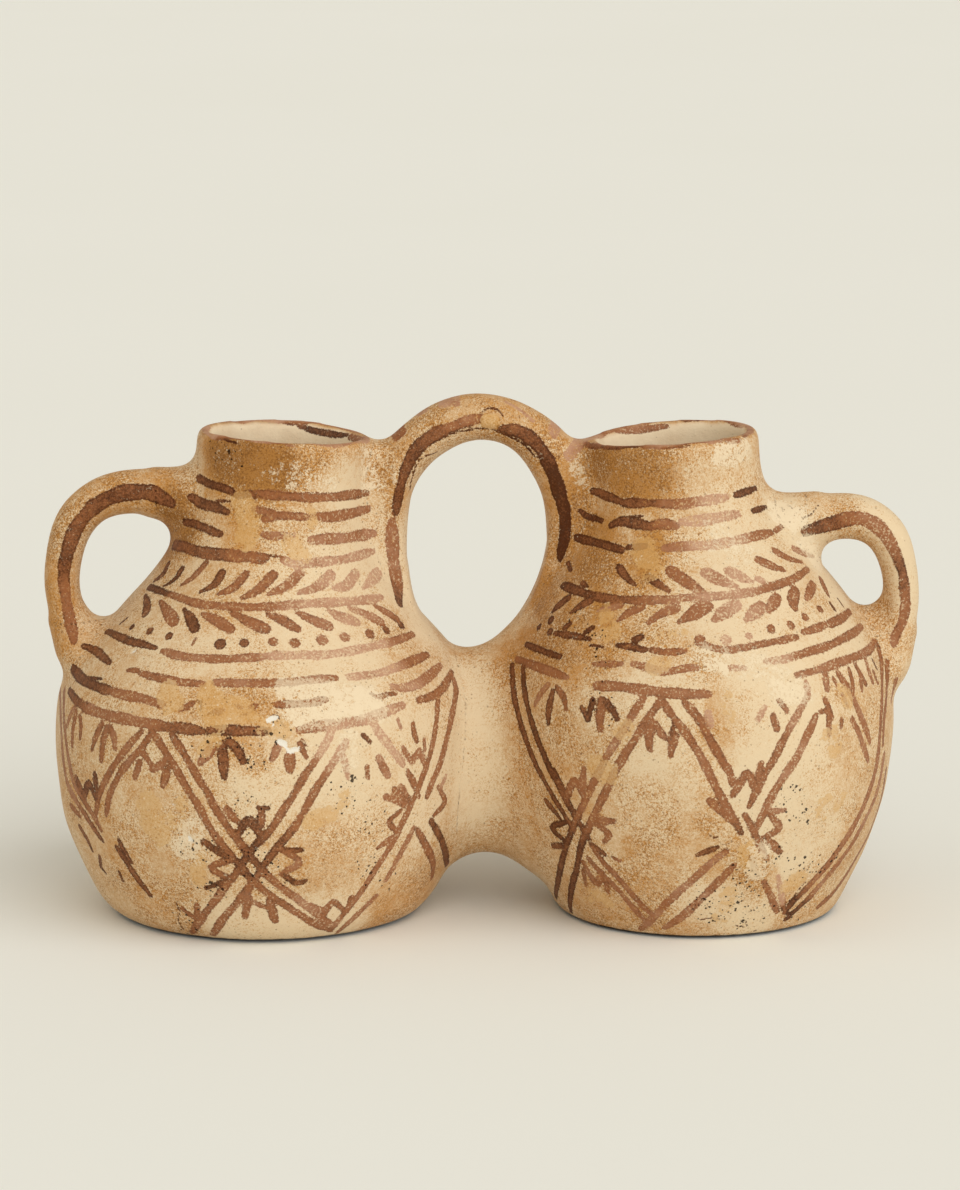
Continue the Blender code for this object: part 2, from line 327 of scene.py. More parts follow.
# %% Bands, leaves and dots on the left jar
LEFT_NECK_BANDS = """
2.9 d 199,478 210,484 220,487 232,491
2.2 d 233,494 241,496 250,493 255,497
3.0 m 258,493 270,495 300,497 330,497 350,495 367,493
3.4 d 191,497 203,504 215,507 227,512
1.0 d 216,501 232,501
2.2 m 254,509 265,511 273,512
2.8 m 265,519 276,516 290,516 307,517
3.4 m 316,516 330,517 348,514 368,509
2.9 d 185,522 195,524 207,529 220,534
2.6 m 264,535 275,536 287,535
1.2 m 286,537 285,544
1.3 f 294,534 295,537
3.6 m 311,540 325,539 345,538 373,533
4.0 d 174,545 185,547 200,552 225,555
4.0 m 225,555 250,557 265,558
1.2 m 250,561 264,564
1.0 d 269,556 280,556
3.0 f 284,560 295,564 310,563 330,561 350,558 373,551
"""
LEFT_LEAVES = """
2.4 d 154,581 163,574 168,564
2.2 d 164,586 174,580 182,569
2.0 m 181,585 192,578 206,563
2.6 d 200,592 214,585 222,573
2.6 m 218,594 233,588 246,574
3.0 m 242,598 258,590 273,575
3.0 m 269,594 286,586 300,573
3.2 f 299,593 317,587 331,575
3.3 f 333,588 346,586 356,573
3.6 f 363,588 370,582 378,573
3.4 d 145,595 147,604 146,613
3.8 m 160,601 166,610 174,621
3.4 d 184,609 190,618 195,628
3.4 m 203,614 216,620 230,629
3.4 m 232,613 248,621 265,629
3.0 m 267,614 282,620 297,629
3.3 m 298,613 313,620 328,626
3.3 f 329,611 341,617 356,622
3.0 f 349,608 365,614 381,622
2.8 m 374,605 386,612 397,619
"""
LEFT_DOTS = """
1.6 d 120,624 127,618
2.6 d 132,627
3.0 d 150,631
3.2 d 169,636
1.2 m 192,645 196,638
3.8 d 220,644
3.6 d 244,643
3.4 m 273,642
3.6 m 295,643
3.6 m 322,640
3.3 m 345,637
3.5 m 370,634
3.3 d 386,630
2.9 d 401,625
"""
LEFT_BELLY_BANDS = """
3.0 d 149,587 158,590 168,594
2.8 m 170,594 180,598 200,604 220,606 240,607 260,607 280,606
3.0 f 280,606 300,604 340,602 365,600 382,597
2.8 d 107,631 118,636 130,641 145,645 156,648
3.0 m 163,651 180,656 200,658 220,659 245,658 266,657
3.0 f 266,656 300,655 320,655 345,652 370,647 390,642
3.1 m 390,642 403,638 413,634
2.8 d 84,646 95,650 103,657 110,663
2.0 m 128,670 133,670 138,671
2.8 m 141,673 150,676 165,679 180,682 203,684
3.0 m 215,682 230,683 250,683 275,683 290,682
3.0 m 290,682 310,680 336,678
2.8 f 349,677 360,676 380,673 400,666
3.2 m 400,666 415,660 428,654
3.6 d 73,669 82,679 93,685 107,690
1.6 d 84,678 102,679
3.2 m 107,690 125,695 145,699 163,705
2.2 m 181,709 188,706 193,703
1.2 d 201,701 201,711
1.4 m 215,711 224,710
1.6 m 238,706 242,708
2.2 m 250,707 256,706
2.6 m 277,705 290,704 310,703 326,699
1.6 m 371,694 379,697 389,694 396,694
3.2 f 393,687 405,688 418,684
3.2 m 418,684 430,675 441,665
2.8 d 69,690 75,699 85,707
3.6 m 85,707 100,713 120,718 140,722 160,726
3.5 d 160,726 180,728 202,731
3.4 d 209,731 225,730 245,731 268,731
3.4 m 300,730 315,727 334,723
3.4 f 338,725 352,722 365,720 385,712 403,705
2.8 m 418,700 430,697 441,690 448,680 452,671
"""


def line_count(*blocks):
    """How many touches or marks some blocks of text hold."""
    return sum(len(block.strip().split("\n")) for block in blocks)


left_jar = line_count(LEFT_NECK_BANDS, LEFT_LEAVES, LEFT_DOTS, LEFT_BELLY_BANDS)
print("left jar:", left_jar, "touches")

# %% Lattice on the left jar
LEFT_LATTICE = """
2.5 m 142,731 130,744 115,764 104,783 98,800 96,815
2.5 m 153,731 143,746 128,763 118,777 110,794 106,815
2.6 m 155,735 166,753 176,769 187,788 198,806 208,825 218,840 229,853
2.6 m 172,735 183,752 195,773 207,792 217,811 228,827 240,843
2.6 d 240,843 252,858 266,874
2.6 m 266,874 281,887 300,901 320,917 334,927
2.6 d 229,853 241,867 252,880
2.5 m 252,880 266,892 285,905 302,916 317,925 331,931
2.5 f 334,727 325,745 315,761
2.5 m 315,761 305,775 296,791 286,806 276,822 266,835
2.6 d 266,835 256,845 246,857 238,871
2.6 m 238,871 228,883 217,898 207,911 197,925 192,933
2.7 f 346,742 337,757 326,774
2.7 m 326,774 316,789 308,804 299,821 289,834
2.7 d 289,834 279,846 269,858 259,873
2.7 m 259,873 250,886 240,899 230,911 221,922 213,935
2.9 f 373,724 383,738 393,751 403,764
2.4 m 408,772 414,784 419,797
2.4 m 438,697 437,715 434,737 430,755 425,771 418,789 410,807 402,824
2.4 m 402,824 394,840 385,855 375,870 366,885 354,901 342,916 331,930
3.0 m 453,678 456,690 454,705 450,725 445,746 440,764 433,781 427,796
2.3 m 414,828 404,847 394,866 386,880
2.2 m 376,896 361,911 347,924 337,933
2.8 m 417,830 426,846 433,862 432,878
2.8 d 431,821 440,837 445,852 447,865
2.8 m 60,690 61,725 63,757 67,782 74,797 84,813 92,826
2.6 m 64,690 64,720 68,755 74,783 83,799 93,815 101,830
2.6 d 117,848 127,863 137,878 151,896
2.2 d 119,840 124,851 131,862
2.4 d 80,827 87,839 92,850
2.4 d 85,812 93,827 103,841
"""
LEFT_CROSSES = """
2.9 d 76,778 84,795
2.9 d 83,799 89,784 97,801
2.9 d 95,775 97,797
2.9 m 71,806 79,815
1.8 d 100,857 101,867 106,873
1.7 d 119,872 123,881
2.4 m 403,748 412,761 419,752 427,769
2.3 m 438,787 445,802 434,815
2.0 f 446,776 441,787
2.7 m 386,797 397,800 409,808
2.4 m 394,789 409,806
2.2 m 401,787 409,799
2.2 m 400,811 389,822 399,833
2.1 m 378,848 392,837
2.7 m 227,809 236,821
2.9 d 237,836 249,820 262,838
2.7 m 262,811 261,826
2.0 d 258,808 268,808
2.7 d 204,842 216,850 229,858
2.3 m 233,859 211,868 233,880
2.0 d 206,888 221,883 231,879
2.3 m 281,849 299,862 281,874
2.4 d 285,876 296,883 305,881
2.0 d 287,850 302,850
3.0 m 248,896 245,917
2.2 m 253,902 265,907
3.0 m 269,900 275,921
2.2 m 183,909 198,921
2.4 m 197,905 197,919
2.4 m 322,918 333,902 345,912
2.1 m 351,897 347,912
2.2 m 310,905 325,912
"""
LEFT_FRINGE = """
2.3 m 75,707 70,716 67,726
2.3 m 76,712 73,728 72,745
2.3 m 80,716 81,728 80,738
2.6 m 102,724 96,736 92,749
2.9 m 107,728 103,742 101,760
2.6 m 110,727 114,737 115,748
2.6 m 140,762 135,777
2.6 m 143,753 151,764
2.9 m 152,769 161,765 166,759
2.9 m 168,768 163,785
3.4 d 222,744 223,760 224,777
3.4 d 229,742 238,750 243,761
3.4 m 213,747 205,757 200,763
3.4 m 278,747 272,759
3.8 m 290,756 290,770
2.6 m 300,744 306,757
2.2 d 363,735 370,742
3.4 m 379,758 384,769 388,775
2.2 m 367,767 368,778
2.4 f 344,758 348,777
2.4 m 413,724 414,733 417,741
1.7 m 424,740 425,750
1.7 f 398,720 401,728
"""
print("left lattice:", line_count(LEFT_LATTICE, LEFT_CROSSES, LEFT_FRINGE), "touches")

# %% Bands, leaves and dots on the right jar
RIGHT_NECK_BANDS = """
3.0 d 593,491 602,494 612,498 622,502
3.1 d 622,503 635,503 652,503
3.2 m 655,503 668,504 682,504 695,502
3.2 f 695,502 710,500 727,497
2.6 d 736,495 745,492 756,488
1.8 d 580,511 586,515
2.5 d 586,516 594,518 602,521
3.4 d 611,525 622,521 637,524 650,526
3.4 m 650,526 664,524 676,526
1.0 d 627,517 643,516
3.5 f 682,522 697,521 715,518 737,514
2.0 d 753,511 760,509 766,507
3.0 d 577,538 590,541 605,545 622,550
2.8 d 629,547 637,547 645,546
3.2 m 665,548 676,547 690,546
3.3 f 690,546 710,545 730,542 747,538
3.1 m 747,538 760,535 772,532
2.4 m 775,531 781,527
"""
RIGHT_LEAVES = """
1.8 d 588,587 582,583
2.4 d 635,585 627,578 619,567
2.6 d 669,591 660,585 648,577
3.8 m 703,592 687,582 671,571
3.6 f 738,587 722,581 706,573
3.2 f 753,582 741,577 729,571
2.0 f 765,581 757,579
3.0 m 784,570 772,566 759,560
2.6 m 802,562 788,558 775,551
2.2 m 814,557 805,554 794,549
2.8 d 552,612 560,604 568,598
2.6 d 570,613 580,606 591,600
2.8 m 598,611 609,607 620,604
2.6 m 618,621 628,613 642,607
3.0 m 648,623 661,614 676,608
4.2 m 679,622 691,615 706,606
4.2 f 714,620 725,612 736,605
3.8 f 746,620 754,613 761,606
3.6 m 768,611 773,604 777,598
4.0 m 795,609 793,600 795,591
3.2 m 806,599 810,592 813,584
2.2 m 829,597 825,589 821,579
"""
RIGHT_DOTS = """
2.8 d 539,627
3.4 d 551,620
2.6 d 565,627 570,624
2.8 d 586,632 592,628
2.6 d 550,632
3.0 d 635,640 641,637
4.0 m 700,640
3.8 f 726,640
2.6 f 749,636
3.0 m 771,629
3.0 m 791,625
2.8 m 805,617
2.8 m 820,609
1.6 d 830,603 835,610
1.3 d 838,599 843,606
"""
RIGHT_BELLY_BANDS = """
3.2 d 563,585 575,590 590,595 603,598
3.0 d 603,598 625,600 640,600
3.0 m 640,600 660,600 680,599
3.0 f 680,598 700,597 720,596 740,594 757,591
2.9 m 757,591 777,585 795,578 808,569
2.2 d 555,633 575,636 590,639
1.2 d 590,645 603,647
2.4 d 618,645 631,647 645,650
2.4 m 652,650 668,652 684,651
2.4 m 698,643 711,647 725,650 742,648 757,645
2.4 m 757,645 778,641 797,637
2.8 m 803,632 815,629 826,624
3.4 m 830,624 842,618 850,611
2.4 d 526,644 535,648 546,652 560,657
2.0 m 594,664 605,664 622,664
2.6 m 633,664 646,667 660,671 672,671 687,668 697,668
2.0 f 730,668 746,668
2.4 f 766,661 781,660 795,656
2.8 m 795,656 811,651 825,647 840,640 853,633 862,626
3.0 m 517,659 527,663 541,668 555,673 567,677
3.4 m 597,686 612,686 630,688 650,691 670,693 690,694 708,694
2.4 m 797,675 810,672 822,669
3.0 m 822,669 840,662 855,657 868,651 875,642
"""
right_jar = line_count(RIGHT_NECK_BANDS, RIGHT_LEAVES, RIGHT_DOTS, RIGHT_BELLY_BANDS)
print("right jar:", right_jar, "touches")

# %% Lattice on the right jar
RIGHT_LATTICE = """
2.3 d 512,665 513,682 515,700 521,724 529,748 537,767 545,782 554,798 563,813 573,829
2.9 d 523,665 524,685 528,708 535,732 543,753 551,771 560,788 569,805 579,822 588,838
2.5 m 644,697 633,714 619,737 607,756 601,768 594,781 588,795 580,811 573,827
2.4 d 573,827 568,841 563,858 559,876 556,893 556,902
2.7 m 661,700 648,719 634,741 619,764 609,785 600,803 592,820 585,835
2.5 d 585,835 580,850 577,868 572,886 570,903 571,912
2.7 m 662,701 673,717 687,735 699,754 709,773 718,791 727,808 736,823
2.3 d 736,823 741,833
2.8 m 684,702 699,719 711,741 722,760 730,774
2.4 m 745,815 753,830 760,845 767,859
2.2 m 592,846 604,863 620,880 637,900 654,917
2.2 m 588,858 602,874 617,889 632,906 645,921
2.4 f 806,684 808,694 803,705
2.5 m 803,705 796,717 789,729
2.5 m 789,729 782,743 775,757 765,774 757,790 749,807
2.6 m 726,851 711,863 696,877 680,891 665,905 653,918 641,929
2.9 m 816,716 806,738 797,757 785,775 773,794 764,813 756,829
2.7 m 734,865 722,878 708,892 695,905 680,918 664,928
2.8 d 752,859 757,874
2.4 m 764,882 771,897 777,912
2.0 f 778,876 782,899 785,913
2.8 m 838,673 848,689 855,703 861,717 867,732 870,742
2.6 m 852,719 858,731 863,745 868,760
3.2 m 879,747 877,763 873,780 868,795 863,808 856,822 848,836 839,849 829,863 817,877 804,891
2.8 d 804,891 793,902 786,911
3.0 m 884,755 881,775 876,795 869,812 861,828 852,844 843,857 832,871 820,885 809,898
2.6 d 809,898 797,909 786,919
2.8 m 886,770 882,795 875,818 867,838 856,858 846,875 833,893 818,907
2.4 m 878,646 881,661 882,682 882,702 881,717 880,733 879,745
2.2 m 887,661 887,681 886,701 884,721 883,745
2.4 m 896,680 893,692 891,702
"""
RIGHT_CROSSES = """
2.7 d 554,771 560,783 566,797
2.8 m 566,797 575,781 585,799
2.7 m 584,769 582,790
2.4 d 546,801 560,818
2.2 d 566,822 552,828 567,843
2.4 d 553,846 566,845
2.8 m 598,821 614,821
2.2 m 597,825 609,834 604,842
2.3 d 592,845 605,855
1.7 m 612,857 620,861
2.2 m 583,862 590,875 597,884 603,872
1.8 m 583,870 586,885
2.0 m 605,880 608,892
2.4 m 729,768 733,783 738,785
2.6 m 733,795 742,780 748,773 757,793
2.7 m 761,764 758,780
2.8 m 710,801 722,812 735,823
2.0 d 698,855 718,847
2.4 m 769,812 785,810
2.4 m 770,815 779,828 763,838
2.8 m 768,840 780,852
"""
RIGHT_FRINGE = """
2.4 m 849,669 852,680 853,690
2.4 m 856,666 862,677 866,684
2.2 m 860,675 862,690
2.4 m 866,661 869,672 873,683
1.4 d 872,659 877,669
1.7 m 873,671 878,684
2.9 m 825,670 826,679 827,689
1.7 m 833,678 837,685
1.8 m 843,695 848,707
2.2 m 842,720 841,727
2.3 m 825,700 830,711 832,718
2.0 m 820,712 828,712 829,735
2.4 m 548,685 541,693 535,704
2.8 d 553,691 549,708 548,723
2.4 m 557,688 564,698 566,709
2.4 d 582,708 588,719
2.3 d 593,700 588,719
3.5 m 602,701 600,715 600,729
2.5 d 605,701 612,709 617,719
2.9 m 652,722 649,736 650,750
2.4 m 655,723 661,733 667,739
1.9 d 674,725 671,733
2.9 m 675,736 672,746 671,755
3.1 f 708,713 711,725
2.4 m 779,701 787,711
2.2 f 765,707 758,720
3.0 m 773,716 777,729
"""
print("right lattice:", line_count(RIGHT_LATTICE, RIGHT_CROSSES, RIGHT_FRINGE), "touches")

# %% Stripes on the straps and strokes inside the mouths
STRAP_STRIPES = """
5.0 d 171,503 160,497 150,492
5.4 d 150,492 135,492 120,494 105,500 93,508
5.0 d 93,508 82,520 74,533 69,548
4.2 d 69,548 65,563 64,580
3.8 m 64,580 66,597 69,615 72,630 74,641
4.0 d 806,531 817,528
4.8 d 817,528 831,524 845,520
4.8 m 845,520 857,518 869,521 880,528
4.2 m 880,528 889,540 896,554
3.4 d 896,554 902,571 905,589
3.2 m 905,589 906,606
3.4 m 906,606 904,618 899,629
3.0 m 899,629 895,637 894,644
5.4 d 399,602 397,588
4.8 m 397,588 394,565 393,545 392,522
3.6 d 396,512 398,500 401,487
3.4 d 401,487 405,472
4.4 d 405,472 411,458 420,445
4.4 d 420,445 431,437 442,431
3.6 m 442,431 455,426 468,421 479,418
4.2 d 503,429 517,431 528,436
4.6 d 528,436 540,448 548,462
5.0 k 548,462 555,479 559,494
4.2 k 559,494 564,510 565,525
3.8 k 565,525 564,540 561,552 560,558
2.0 d 568,563 571,570
"""
ARCH_BARS = """
3.0 m 397,438 403,433
2.0 f 419,415 426,411
2.4 f 442,406 450,404 457,404
2.0 f 550,430 554,437
2.2 f 566,454 569,459
"""
MOUTH_STROKES = """
2.2 d 300,426 312,430 325,433 338,435 347,435
0.9 k 287,424 293,425
2.6 m 350,437 358,439 365,438
2.4 m 617,431 635,430 652,428 667,426
0.5 k 684,422 692,421 700,421
0.6 d 722,420 730,422 737,425
"""
# Cracks, rings round the blister, fine dark lines on the arch and a few slip dabs; the dark lines along
# the front lips of both jars are painted shadow under the lips, over a little slip.
HAIRLINES_AND_LIP_SHADOWS = """
0.6 k 440,440 455,433 475,429 485,428 497,431 510,437
0.9 k 510,437 525,445 535,457
0.6 d 437,452 420,460 412,478 410,490
0.8 d 480,415 484,410 491,408 498,410 503,416
1.4 f 506,402 520,410 533,421
0.9 k 219,437 229,441 240,444
0.5 k 271,448 277,448 283,447
1.2 f 286,445 294,446
2.0 d 585,443 592,446 601,447
1.4 d 603,447 615,448 628,447
1.3 k 630,447 637,447
0.9 d 641,447 655,446
0.7 d 664,448 680,447 690,446
2.0 m 727,441 733,441 740,440
1.4 m 744,437 749,433 753,430
0.6 k 800,519 808,516 814,511 819,504
0.7 k 782,508 784,514
0.6 d 788,505 792,508
0.6 d 779,517 784,522
0.5 k 720,842 724,845 729,844 732,840
0.5 d 709,834 714,838 719,836
0.6 k 788,903 794,896 800,888 806,882
1.6 k 782,908 788,914 796,909
0.7 k 745,920 748,928
0.5 d 700,920 712,918 728,921
0.5 d 735,925 742,927 747,926
0.5 k 754,931 757,930
0.6 k 266,723 269,717 276,715 279,719
0.6 d 280,719 283,725 286,727
0.5 k 207,737 213,735 219,737
0.5 d 301,738 305,742 308,750
0.5 k 176,903 180,912 178,921 184,930
0.5 d 240,716 247,714 254,710
0.5 d 224,711 219,714 212,712 208,714
"""
print("straps:", line_count(STRAP_STRIPES, ARCH_BARS, MOUTH_STROKES, HAIRLINES_AND_LIP_SHADOWS), "touches")

# %% [markdown]
# ## From the photograph to the clay
# Each path is rounded into a smooth curve, and a ray through each of its pixels finds the skin.
# The brush is never steady, so each touch swells and thins a little, and it thins out at its free ends.
# A leaf is pressed down as the brush moves, so it grows from a thin tail to a full, round head.
# Every touch ends up as a chain of balls in space; what lies inside the chain is painted.

# %% Carry the touches onto the skin
STEP_PIXELS = 4.0
SLIP = {"k": 1.3, "d": 1.0, "m": 0.66, "f": 0.42}
SLIP_CHANGE = 0.08
SPREAD = 0.16 * MM
WIDTH_CHANGE = 0.10
WIDTH_WAVE = 9.0
END_STEPS = 2.0
START_PRESS = 0.8
END_PRESS = 0.7
LEAF_TAIL = 0.4
LEAF_SWELL = 0.8
LEAF_TURN = 2.2
skin_tree = BVHTree.FromPolygons(skin_points.tolist(), skin_quads.tolist())


def smooth_path(marks):
    """More points along a path of pixels, on a curve that passes through each mark."""
    marks = np.array(marks, float)
    if len(marks) == 1:
        return marks
    ends = np.vstack([2 * marks[0] - marks[1], marks, 2 * marks[-1] - marks[-2]])
    path = []
    for k in range(len(marks) - 1):
        a, b, c, d = ends[k : k + 4]
        count = max(2, int(np.linalg.norm(c - b) / STEP_PIXELS))
        for t in np.arange(count) / count:
            bend = 2 * b + (c - a) * t
            bend += (2 * a - 5 * b + 4 * c - d) * t**2
            bend += (3 * b - a - 3 * c + d) * t**3
            path.append(0.5 * bend)
    return np.vstack([path, marks[-1]])


def on_skin(x, y):
    """Where the line of sight through a pixel meets the clay, or None."""
    return skin_tree.ray_cast(eye, sight_line(x, y))[0]


def touches(text, leaf=False):
    """The chains of balls for a block of brush touches, on the front and mirrored on the back."""
    lines = [line.split() for line in text.strip().split("\n")]
    ends = [mark for line in lines for mark in (line[2], line[-1])]
    chains = []
    for width, slip, *marks in lines:
        path = smooth_path([mark.split(",") for mark in marks])
        places = [place for place in (on_skin(x, y) for x, y in path) if place]
        if not places:
            continue
        steps = np.arange(len(places))
        if leaf:
            press = LEAF_TAIL + LEAF_SWELL * np.sin(LEAF_TURN * steps / max(1, steps[-1]))
        else:
            press = np.ones(len(places))
            if ends.count(marks[0]) == 1 and len(marks) > 1:
                press *= np.minimum(1, START_PRESS + (1 - START_PRESS) * steps / END_STEPS)
            if ends.count(marks[-1]) == 1 and len(marks) > 1:
                press *= np.minimum(1, END_PRESS + (1 - END_PRESS) * steps[::-1] / END_STEPS)
        press += WIDTH_CHANGE * np.sin(steps / WIDTH_WAVE * FULL_TURN + chance.uniform(0, FULL_TURN))
        radii = float(width) / 2 * MM * press + SPREAD * min(1, float(width) / 2)
        amount = SLIP[slip] + chance.uniform(-SLIP_CHANGE, SLIP_CHANGE)
        front = np.array(places)
        chains.append((front, radii, amount))
        chains.append((front * (1, -1, 1), radii, amount))
    return chains


plain_touches = (
    LEFT_NECK_BANDS + LEFT_DOTS + LEFT_BELLY_BANDS + LEFT_LATTICE + LEFT_CROSSES + LEFT_FRINGE
    + RIGHT_NECK_BANDS + RIGHT_DOTS + RIGHT_BELLY_BANDS + RIGHT_LATTICE + RIGHT_CROSSES + RIGHT_FRINGE
    + STRAP_STRIPES + MOUTH_STROKES + HAIRLINES_AND_LIP_SHADOWS
)
plain_touches = plain_touches.replace("\n\n", "\n")
leaf_touches = (LEFT_LEAVES + RIGHT_LEAVES).replace("\n\n", "\n")
brushwork = touches(plain_touches) + touches(leaf_touches, leaf=True)
print("brushwork has", len(brushwork), "chains")

# %% Bars over the top of the arch
ARCH_HEART = Vector((0, 0, 130 * MM))
ARCH_CLEAR = 30 * MM
BAR_POINTS = 9


def over_the_top(place):
    """Points on the arch from a place on its front, over the outside, to the same place behind."""
    across = []
    outward = Vector((place.x - ARCH_HEART.x, 0, place.z - ARCH_HEART.z)).normalized()
    for y in np.linspace(place.y, -place.y, BAR_POINTS):
        start = Vector((place.x, y, place.z)) + outward * ARCH_CLEAR
        hit = skin_tree.ray_cast(start, -outward, 2 * ARCH_CLEAR)[0]
        if hit:
            across.append(hit)
    return np.array(across)


for line in ARCH_BARS.strip().split("\n"):
    width, slip, *marks = line.split()
    for x, y in smooth_path([mark.split(",") for mark in marks]):
        place = on_skin(x, y)
        if place:
            bar = over_the_top(place)
            brushwork.append((bar, np.full(len(bar), float(width) / 2 * MM), SLIP[slip]))
print("with the arch's bars", len(brushwork), "chains")

# %% Thin slip round the lips
# The lips are worn: a thin uneven line of slip runs round them, over a rim of tan clay without bloom.
LIP_STEPS = 40
LIP_REACH = (20 * MM, 31 * MM)
LIP_RADIUS = 1.2 * MM
LIP_WAVES = (3, 8)
LIP_WEAR = 0.6
LIP_SLIP = 0.45
LIP_TAN = 2.0 * MM
LIP_BARE = 0.9
lips = []

for foot, lean in JAR_AXES.values():
    away = skin_points - (foot + lean, 0, 0)
    span = np.hypot(away[:, 0], away[:, 1])
    near = skin_points[(span > LIP_REACH[0]) & (span < LIP_REACH[1])]
    turn = np.arctan2(near[:, 1], near[:, 0] - foot - lean)
    sector = ((turn / (2 * math.pi) + 0.5) * LIP_STEPS).astype(int) % LIP_STEPS
    tops = [near[sector == k][near[sector == k][:, 2].argmax()] for k in range(LIP_STEPS)]
    round_lip = np.linspace(0, 2 * math.pi, LIP_STEPS + 1)
    worn = sum(np.sin(wave * round_lip + chance.uniform(0, FULL_TURN)) for wave in LIP_WAVES)
    ring = np.array(tops + tops[:1])
    lips.append((ring, np.full(len(ring), LIP_TAN), LIP_BARE))
    brushwork.append((ring, LIP_RADIUS * (1 + LIP_WEAR * worn), LIP_SLIP))
print("with the lips", len(brushwork), "chains")

# %% [markdown]
# ## The marks of age, and painted light and shade
# The clay fired golden, and a cream bloom lies over it; shades of gold and cream also paint light and
# shade: cream where light falls and where the ground throws it up, gold on the sides turned from the
# light, in the hollows and by the feet.
# Ochre stains, pale smears of joint clay, white chips and clusters of dark pits have their own places.
# They are written the same way: a size in mm, a strength, and the pixels the mark runs through.
# Shades of gold and cream fade out softly, stains have a broken edge, and a chip is a little hollow.
# One blister of clay stands out at the top of the arch.

# %% Shades of gold and cream, with painted light and shade
# Gold marks: the clay's own golden tone in places, and painted shade where the sides turn from the
# light, in the hollows and by the feet.
GOLD_TONE_AND_PAINTED_SHADE = """
15 1.25 226,454 245,460 266,464
10 0.5 310,462 335,455
9 0.5 242,500 246,540
10 1.1 170,505 185,530 160,545
12 0.7 150,484 110,488 75,505
10 0.7 56,545 50,580 50,610 56,640
16 0.35 95,830 115,880 165,920
16 0.3 62,700 70,770
14 0.4 330,870 310,835
14 0.6 395,905 425,885
13 0.8 520,655 540,630 550,590
9 0.2 470,852 490,849 515,857
18 0.4 530,690 540,740 552,800 565,860
16 0.6 590,905 640,900
8 0.45 640,862 646,852
10 0.45 205,700 245,706
10 0.9 545,590 548,615
14 0.3 680,800 690,820
10 0.3 850,790 845,770
12 0.4 640,925 690,935
14 1.0 600,460 625,470 650,475
9 0.9 650,545 640,570
18 0.9 590,545 585,600 560,640
12 0.6 600,640 620,650
8 0.8 384,480 382,520
7 0.9 577,490 579,525
9 0.6 400,440 440,408 480,400 520,410 550,435
9 0.6 500,432 530,445 560,490 566,540 550,590
8 0.4 810,522 850,530 880,560 885,600
10 0.25 690,625 660,640
10 0.4 730,700 735,735
10 0.4 715,830 735,890
9 0.4 800,885 850,850
7 0.8 756,868 764,880
7 0.9 234,747 252,756
"""
# Cream marks: the bloom in places, and painted light on the sides that face the light and on the low
# bellies lit from the ground.
CREAM_BLOOM_AND_PAINTED_LIGHT = """
20 0.9 320,640 345,690 350,760
16 0.7 375,560 345,575 320,590
10 0.9 345,480 362,510 365,540
14 0.5 230,660 170,660
16 0.7 265,775 285,785
13 1.0 230,922 275,926 330,922
12 0.7 410,720 425,810 455,760
10 0.8 404,540 408,590 425,630
16 0.8 740,545 760,610 720,610
18 1.2 770,670 785,730 770,790
12 0.3 740,470 745,510
16 0.7 800,850 820,800
12 0.6 690,780 660,760
12 0.7 855,640 830,650
8 1.2 875,500 900,540 914,600
10 1.2 785,515 805,540 830,585
10 0.8 700,900 750,920
10 0.6 680,700 640,680
12 0.9 466,690 474,760 470,800
"""
print("shades:", line_count(GOLD_TONE_AND_PAINTED_SHADE, CREAM_BLOOM_AND_PAINTED_LIGHT))

# %% Stains, smears, pits and chips
OCHRE_STAINS = """
5 1.0 168,692 172,704
4 1.0 206,688 212,700
5 1.0 210,700 216,716
5 1.0 228,706 246,712
3 0.9 204,750 214,741
7 0.8 150,803 156,828
5 0.7 178,806 176,824
4 0.8 197,858 199,878
4 0.8 312,822 332,814
3 0.8 345,795 343,804
4 0.8 262,726 285,730
3 0.8 310,514 312,522
5 1.0 242,503 248,520 245,538
5 0.7 294,540 299,556
5 1.0 597,765 606,773
6 0.6 588,894 602,900
5 0.9 645,550 650,568
4 0.9 605,612 611,634
4 0.5 662,637 686,636
4 0.8 627,727 621,734
4 0.8 655,665 662,664
4 0.45 724,695 733,726
5 0.6 836,748 831,734
6 0.6 824,812 838,798
4 0.9 790,886 800,878
5 0.9 747,850 755,866
4 0.6 728,895 720,918
4 0.7 840,692 848,698
2.6 1.6 487,421 493,421
"""
PALE_SMEARS = """
5 0.6 364,455 368,482
3 0.6 574,464 579,476 584,488
6 1.0 778,510 794,518
5 0.9 806,545 816,560
6 0.9 290,690 325,692
6 0.9 300,714 330,712
7 0.9 345,700 375,705
5 0.6 350,735 348,760
6 0.8 192,832 188,850
6 0.6 705,658 740,662 780,670
6 0.7 780,690 800,690
8 0.45 712,535 740,550
5 0.8 760,852 757,870
1.2 1.0 393,476 394,481
5 0.8 720,455 745,450
6 0.45 285,475 325,480
"""
PIT_CLUSTERS = """
5 1.0 232,748 258,758
4 0.8 205,745 215,755
5 0.9 242,805 255,812
4 0.9 188,845 197,852
4 0.9 218,848 224,856
7 0.9 242,850 268,876
5 0.8 212,888 202,902
5 0.9 178,915 186,928
7 0.7 350,790 372,822
6 0.7 365,865 385,880
5 0.6 275,730 265,738
8 1.0 706,905 750,912
5 1.0 745,872 752,885
5 0.9 788,905 798,912
5 0.8 780,856 794,866
6 0.8 792,800 804,822
5 0.6 815,870 832,860
5 0.6 212,450 232,456
5 0.6 575,620 595,640
5 0.6 598,672 605,712
"""
